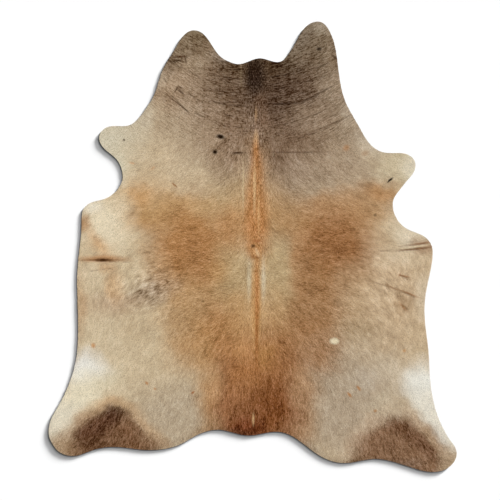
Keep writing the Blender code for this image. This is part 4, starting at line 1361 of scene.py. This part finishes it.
def coat_group():
    """Champagne and fawn cow hair, with the whole pattern of this hide."""
    tree = bpy.data.node_groups.new("champagne and fawn coat", "ShaderNodeTree")
    tree.interface.new_socket("Colour", in_out="OUTPUT", socket_type="NodeSocketColor")
    place = node(tree, "ShaderNodeAttribute", output="Vector", attribute_name="place")
    uneven = shifted(tree, shifted(tree, place, WARP_BROAD), WARP_FINE)
    colour = painted(tree, linear(BASE_COLOUR), uneven, (*MIDDLE_PATCHES, *FRONT_PATCHES, *REAR_PATCHES))
    colour = painted(tree, colour, shifted(tree, place, MARK_WARP), SPINE_PATCHES)
    for size in CLOUD_SIZES:
        cloud = noise_between(tree, place, size, *CLOUD_CHANGE)
        colour = node(tree, VECTOR_MATHS, {0: colour, "Scale": cloud}, operation="SCALE")

    position = node(tree, "ShaderNodeTexCoord", output="Object")
    colour = streaked(tree, colour, position)
    colour = painted(tree, colour, shifted(tree, position, MARK_WARP), MARKS)

    # The creases get painted shade, brown as at the roots.
    crease = node(tree, "ShaderNodeAttribute", output="Fac", attribute_name="crease")
    shade = node(tree, VECTOR_MATHS, (crease, CREASE_SHADE, (1, 1, 1)), operation="MULTIPLY_ADD")
    colour = node(tree, VECTOR_MATHS, (colour, shade), operation="MULTIPLY")
    colour = node(tree, VECTOR_MATHS, (colour, GLOSS_BACK), operation="ADD")
    colour = node(tree, VECTOR_MATHS, (colour, DARKEST), operation="MAXIMUM")
    node(tree, "NodeGroupOutput", (colour,))
    return tree


coat = coat_group()
print("coat group with", len(coat.nodes), "nodes")

# %% [markdown]
# ## Materials
#
# - Cow hair is keratin, with an IOR of about 1.55. Clean and combed by its own lie it has a soft satin
#   gloss: not a mirror, because every lock tips its own way. The roughness varies from lock to lock.
# - The hair side of the leather shows only in the partings. It is the same colours, but darker, since
#   little light gets down between the hairs, with no more gloss than the hair has, and it is pitted with
#   follicles.
# - The cut edge is raw chrome-tanned leather, pale and fibrous.
# - The flesh side is buffed to a short suede nap.

# %% Hair
KERATIN_IOR = 1.55
HAIR_GLOSS = 0.05  # 0.5 would be bare keratin; between hairs, most of the gloss is lost
GLOSS_TINT = "#FFC890"  # most of that has been inside a hair and comes out warmer
GRAIN_RANGE = (-2.0, 2.0)
HAIR_ROUGHNESS = (0.50, 0.75)


def material(name, settings):
    """A new material, its node tree and its shader, with each setting put on the shader's own socket."""
    made = bpy.data.materials.new(name)
    made.use_nodes = True
    shader = made.node_tree.nodes["Principled BSDF"]
    for socket, value in {"Metallic": 0.0, **settings}.items():
        shader.inputs[socket].default_value = value
    return made, made.node_tree, shader


def cow_hair():
    made, tree, shader = material("short cow hair, satin", {
        "IOR": KERATIN_IOR,
        "Specular IOR Level": HAIR_GLOSS,
        "Specular Tint": linear(GLOSS_TINT),
    })
    tree.links.new(node(tree, "ShaderNodeGroup", node_tree=coat), shader.inputs["Base Color"])
    grain = node(tree, "ShaderNodeAttribute", output="Fac", attribute_name="grain")
    rough = node(tree, MAP_RANGE, (grain, *GRAIN_RANGE, *HAIR_ROUGHNESS))
    tree.links.new(rough, shader.inputs["Roughness"])
    return made


hair = cow_hair()
for piece in coat_pieces:
    piece.data.materials.append(hair)
print(hair.name, "on", len(coat_pieces), "pieces")

# %% Leather: hair side, cut edge and flesh side
LEATHER_IOR = 1.5
FOLLICLE_SIZE = 0.0030  # real follicles are a tenth of this, too fine to show
FOLLICLE_DEPTH = 0.0006
FIBRE_SIZE = 0.0015
FIBRE_HEIGHT = 0.0004
NAP_SIZE = 0.0040
NAP_HEIGHT = 0.0006
BUMP_STRENGTH = 0.6
SHADE_UNDER_HAIR = 0.62


def bumped(tree, shader, size, height, kind="ShaderNodeTexNoise", output="Fac"):
    """Gives the shader a fine relief and hands back the pattern."""
    position = node(tree, "ShaderNodeTexCoord", output="Object")
    pattern = node(tree, kind, {"Vector": position, "Scale": 1 / size}, output=output)
    relief = {"Height": pattern, "Distance": height, "Strength": BUMP_STRENGTH}
    tree.links.new(node(tree, "ShaderNodeBump", relief), shader.inputs["Normal"])
    return pattern


def hair_side_leather():
    made, tree, shader = material("hair side of the leather, pitted", {
        "IOR": LEATHER_IOR,
        "Specular IOR Level": HAIR_GLOSS,
        "Specular Tint": linear(GLOSS_TINT),
        "Roughness": 0.75,
    })
    colour = node(tree, "ShaderNodeGroup", node_tree=coat)
    colour = node(tree, VECTOR_MATHS, {0: colour, "Scale": SHADE_UNDER_HAIR}, operation="SCALE")
    tree.links.new(colour, shader.inputs["Base Color"])
    bumped(tree, shader, FOLLICLE_SIZE, FOLLICLE_DEPTH, "ShaderNodeTexVoronoi", "Distance")
    return made


def plain_leather(name, dark, light, size, height, roughness):
    """Raw leather: two close colours mixed by its own fibres."""
    made, tree, shader = material(name, {"IOR": LEATHER_IOR, "Roughness": roughness})
    pattern = bumped(tree, shader, size, height)
    layers = {MIX_FACTOR: pattern, MIX_A: linear(dark), MIX_B: linear(light)}
    colour = node(tree, "ShaderNodeMix", layers, output=MIX_RESULT, data_type="RGBA")
    tree.links.new(colour, shader.inputs["Base Color"])
    return made


leather.data.materials.append(hair_side_leather())
for name, dark, light, size, height, roughness in (
    ("cut edge of the leather, raw", "#84705A", "#A8957A", FIBRE_SIZE, FIBRE_HEIGHT, 0.85),
    ("flesh side, buffed suede", "#B3A58F", "#D2C6B2", NAP_SIZE, NAP_HEIGHT, 0.95),
):
    leather.data.materials.append(plain_leather(name, dark, light, size, height, roughness))
print([m.name for m in leather.data.materials])

# %% [markdown]
# ## Floor and light
#
# The photo has a white floor and a short soft shadow on the lower left, which is darkest right at the edge
# and gone 30 mm out. A rug 5 mm thick throws such a shadow only if the light is low and broad. Two lamps
# make it: a low one for the dark core and a broad one, from higher up, for the soft rest. They would rake
# over the hair, too, so they are linked to the floor alone, and the rug has a gentle key light of its own
# from the same side. The floor is dark grey paper that the two strong lamps turn white. In the shadow, away
# from their light, it shows its own grey.
#
# The sky is a plain white studio: bright near the horizon, so that a low view sees white behind the rug,
# and softer overhead.

# %% Floor
FLOOR_SIDE = 60.0
FLOOR_DROP = 0.0001
FLOOR_GREY = 0.08

floor_mesh = bpy.data.meshes.new("floor")
half = FLOOR_SIDE / 2
floor_mesh.from_pydata(
    [(x, y, -FLOOR_DROP) for x, y in ((-half, -half), (half, -half), (half, half), (-half, half))],
    [], [(0, 1, 2, 3)])
floor = bpy.data.objects.new("floor", floor_mesh)
bpy.context.scene.collection.objects.link(floor)
floor_mesh.materials.append(material("matt paper", {
    "Base Color": (FLOOR_GREY, FLOOR_GREY, FLOOR_GREY, 1),
    "Roughness": 1.0,
    "Specular IOR Level": 0.0,
})[0])
print("floor", FLOOR_SIDE, "m a side")

# %% Lights
# A white, matt, level surface has a brightness of 1 when a light's share is 1.
KEY_SHARE = 0.675
SKY_SHARE = 0.51
HORIZON = 1.0
SKY_FADES = (0.22, 0.45)  # how far up, of 1, the horizon's white begins to fade and has gone
FLOOR_LIGHTS = (
    # name, elevation, angle, share
    ("low light for the floor", 6.0, 6, 7.8),
    ("broad light for the floor", 18, 24, 3.7),
)
SUN_FROM = 45.0  # degrees from +X towards +Y: the upper right


def sun(name, elevation, angle, share):
    """A distant lamp from the upper right, as strong as its share of a level surface's brightness needs."""
    lamp = bpy.data.lights.new(name, "SUN")
    lamp.angle = math.radians(angle)
    lamp.energy = share * math.pi / math.sin(math.radians(elevation))
    made = bpy.data.objects.new(name, lamp)
    made.rotation_euler = (0, math.radians(90 - elevation), math.radians(SUN_FROM))
    bpy.context.scene.collection.objects.link(made)
    return made


sun("key light", elevation=48, angle=12, share=KEY_SHARE)
floor_only = bpy.data.collections.new("lit by the floor's lights")
floor_only.objects.link(floor)
for name, elevation, angle, share in FLOOR_LIGHTS:
    floor_light = sun(name, elevation, angle, share)
    floor_light.light_linking.receiver_collection = floor_only

world = bpy.data.worlds.new("white studio")
world.use_nodes = True
bpy.context.scene.world = world
sky = world.node_tree
direction = node(sky, "ShaderNodeTexCoord", output="Generated")
upwards = node(sky, "ShaderNodeSeparateXYZ", (direction,), output="Z")
brightness = node(sky, MAP_RANGE, (upwards, *SKY_FADES, HORIZON, SKY_SHARE), interpolation_type="SMOOTHSTEP")
sky.links.new(brightness, sky.nodes["Background"].inputs["Strength"])
sky.nodes["Background"].inputs["Color"].default_value = (1, 1, 1, 1)
bpy.context.scene.view_settings.view_transform = "Standard"
print("lights ready")

# %% [markdown]
# ## Putting it together
#
# All pieces ride on the rug's one body. The leather stands for the CAD solid, which is hidden, and is a sheet
# cut to 2.04 by 2.25 m, with the hair on it.

for piece in (leather, *coat_pieces):
    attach(piece, "root")
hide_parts("hide")
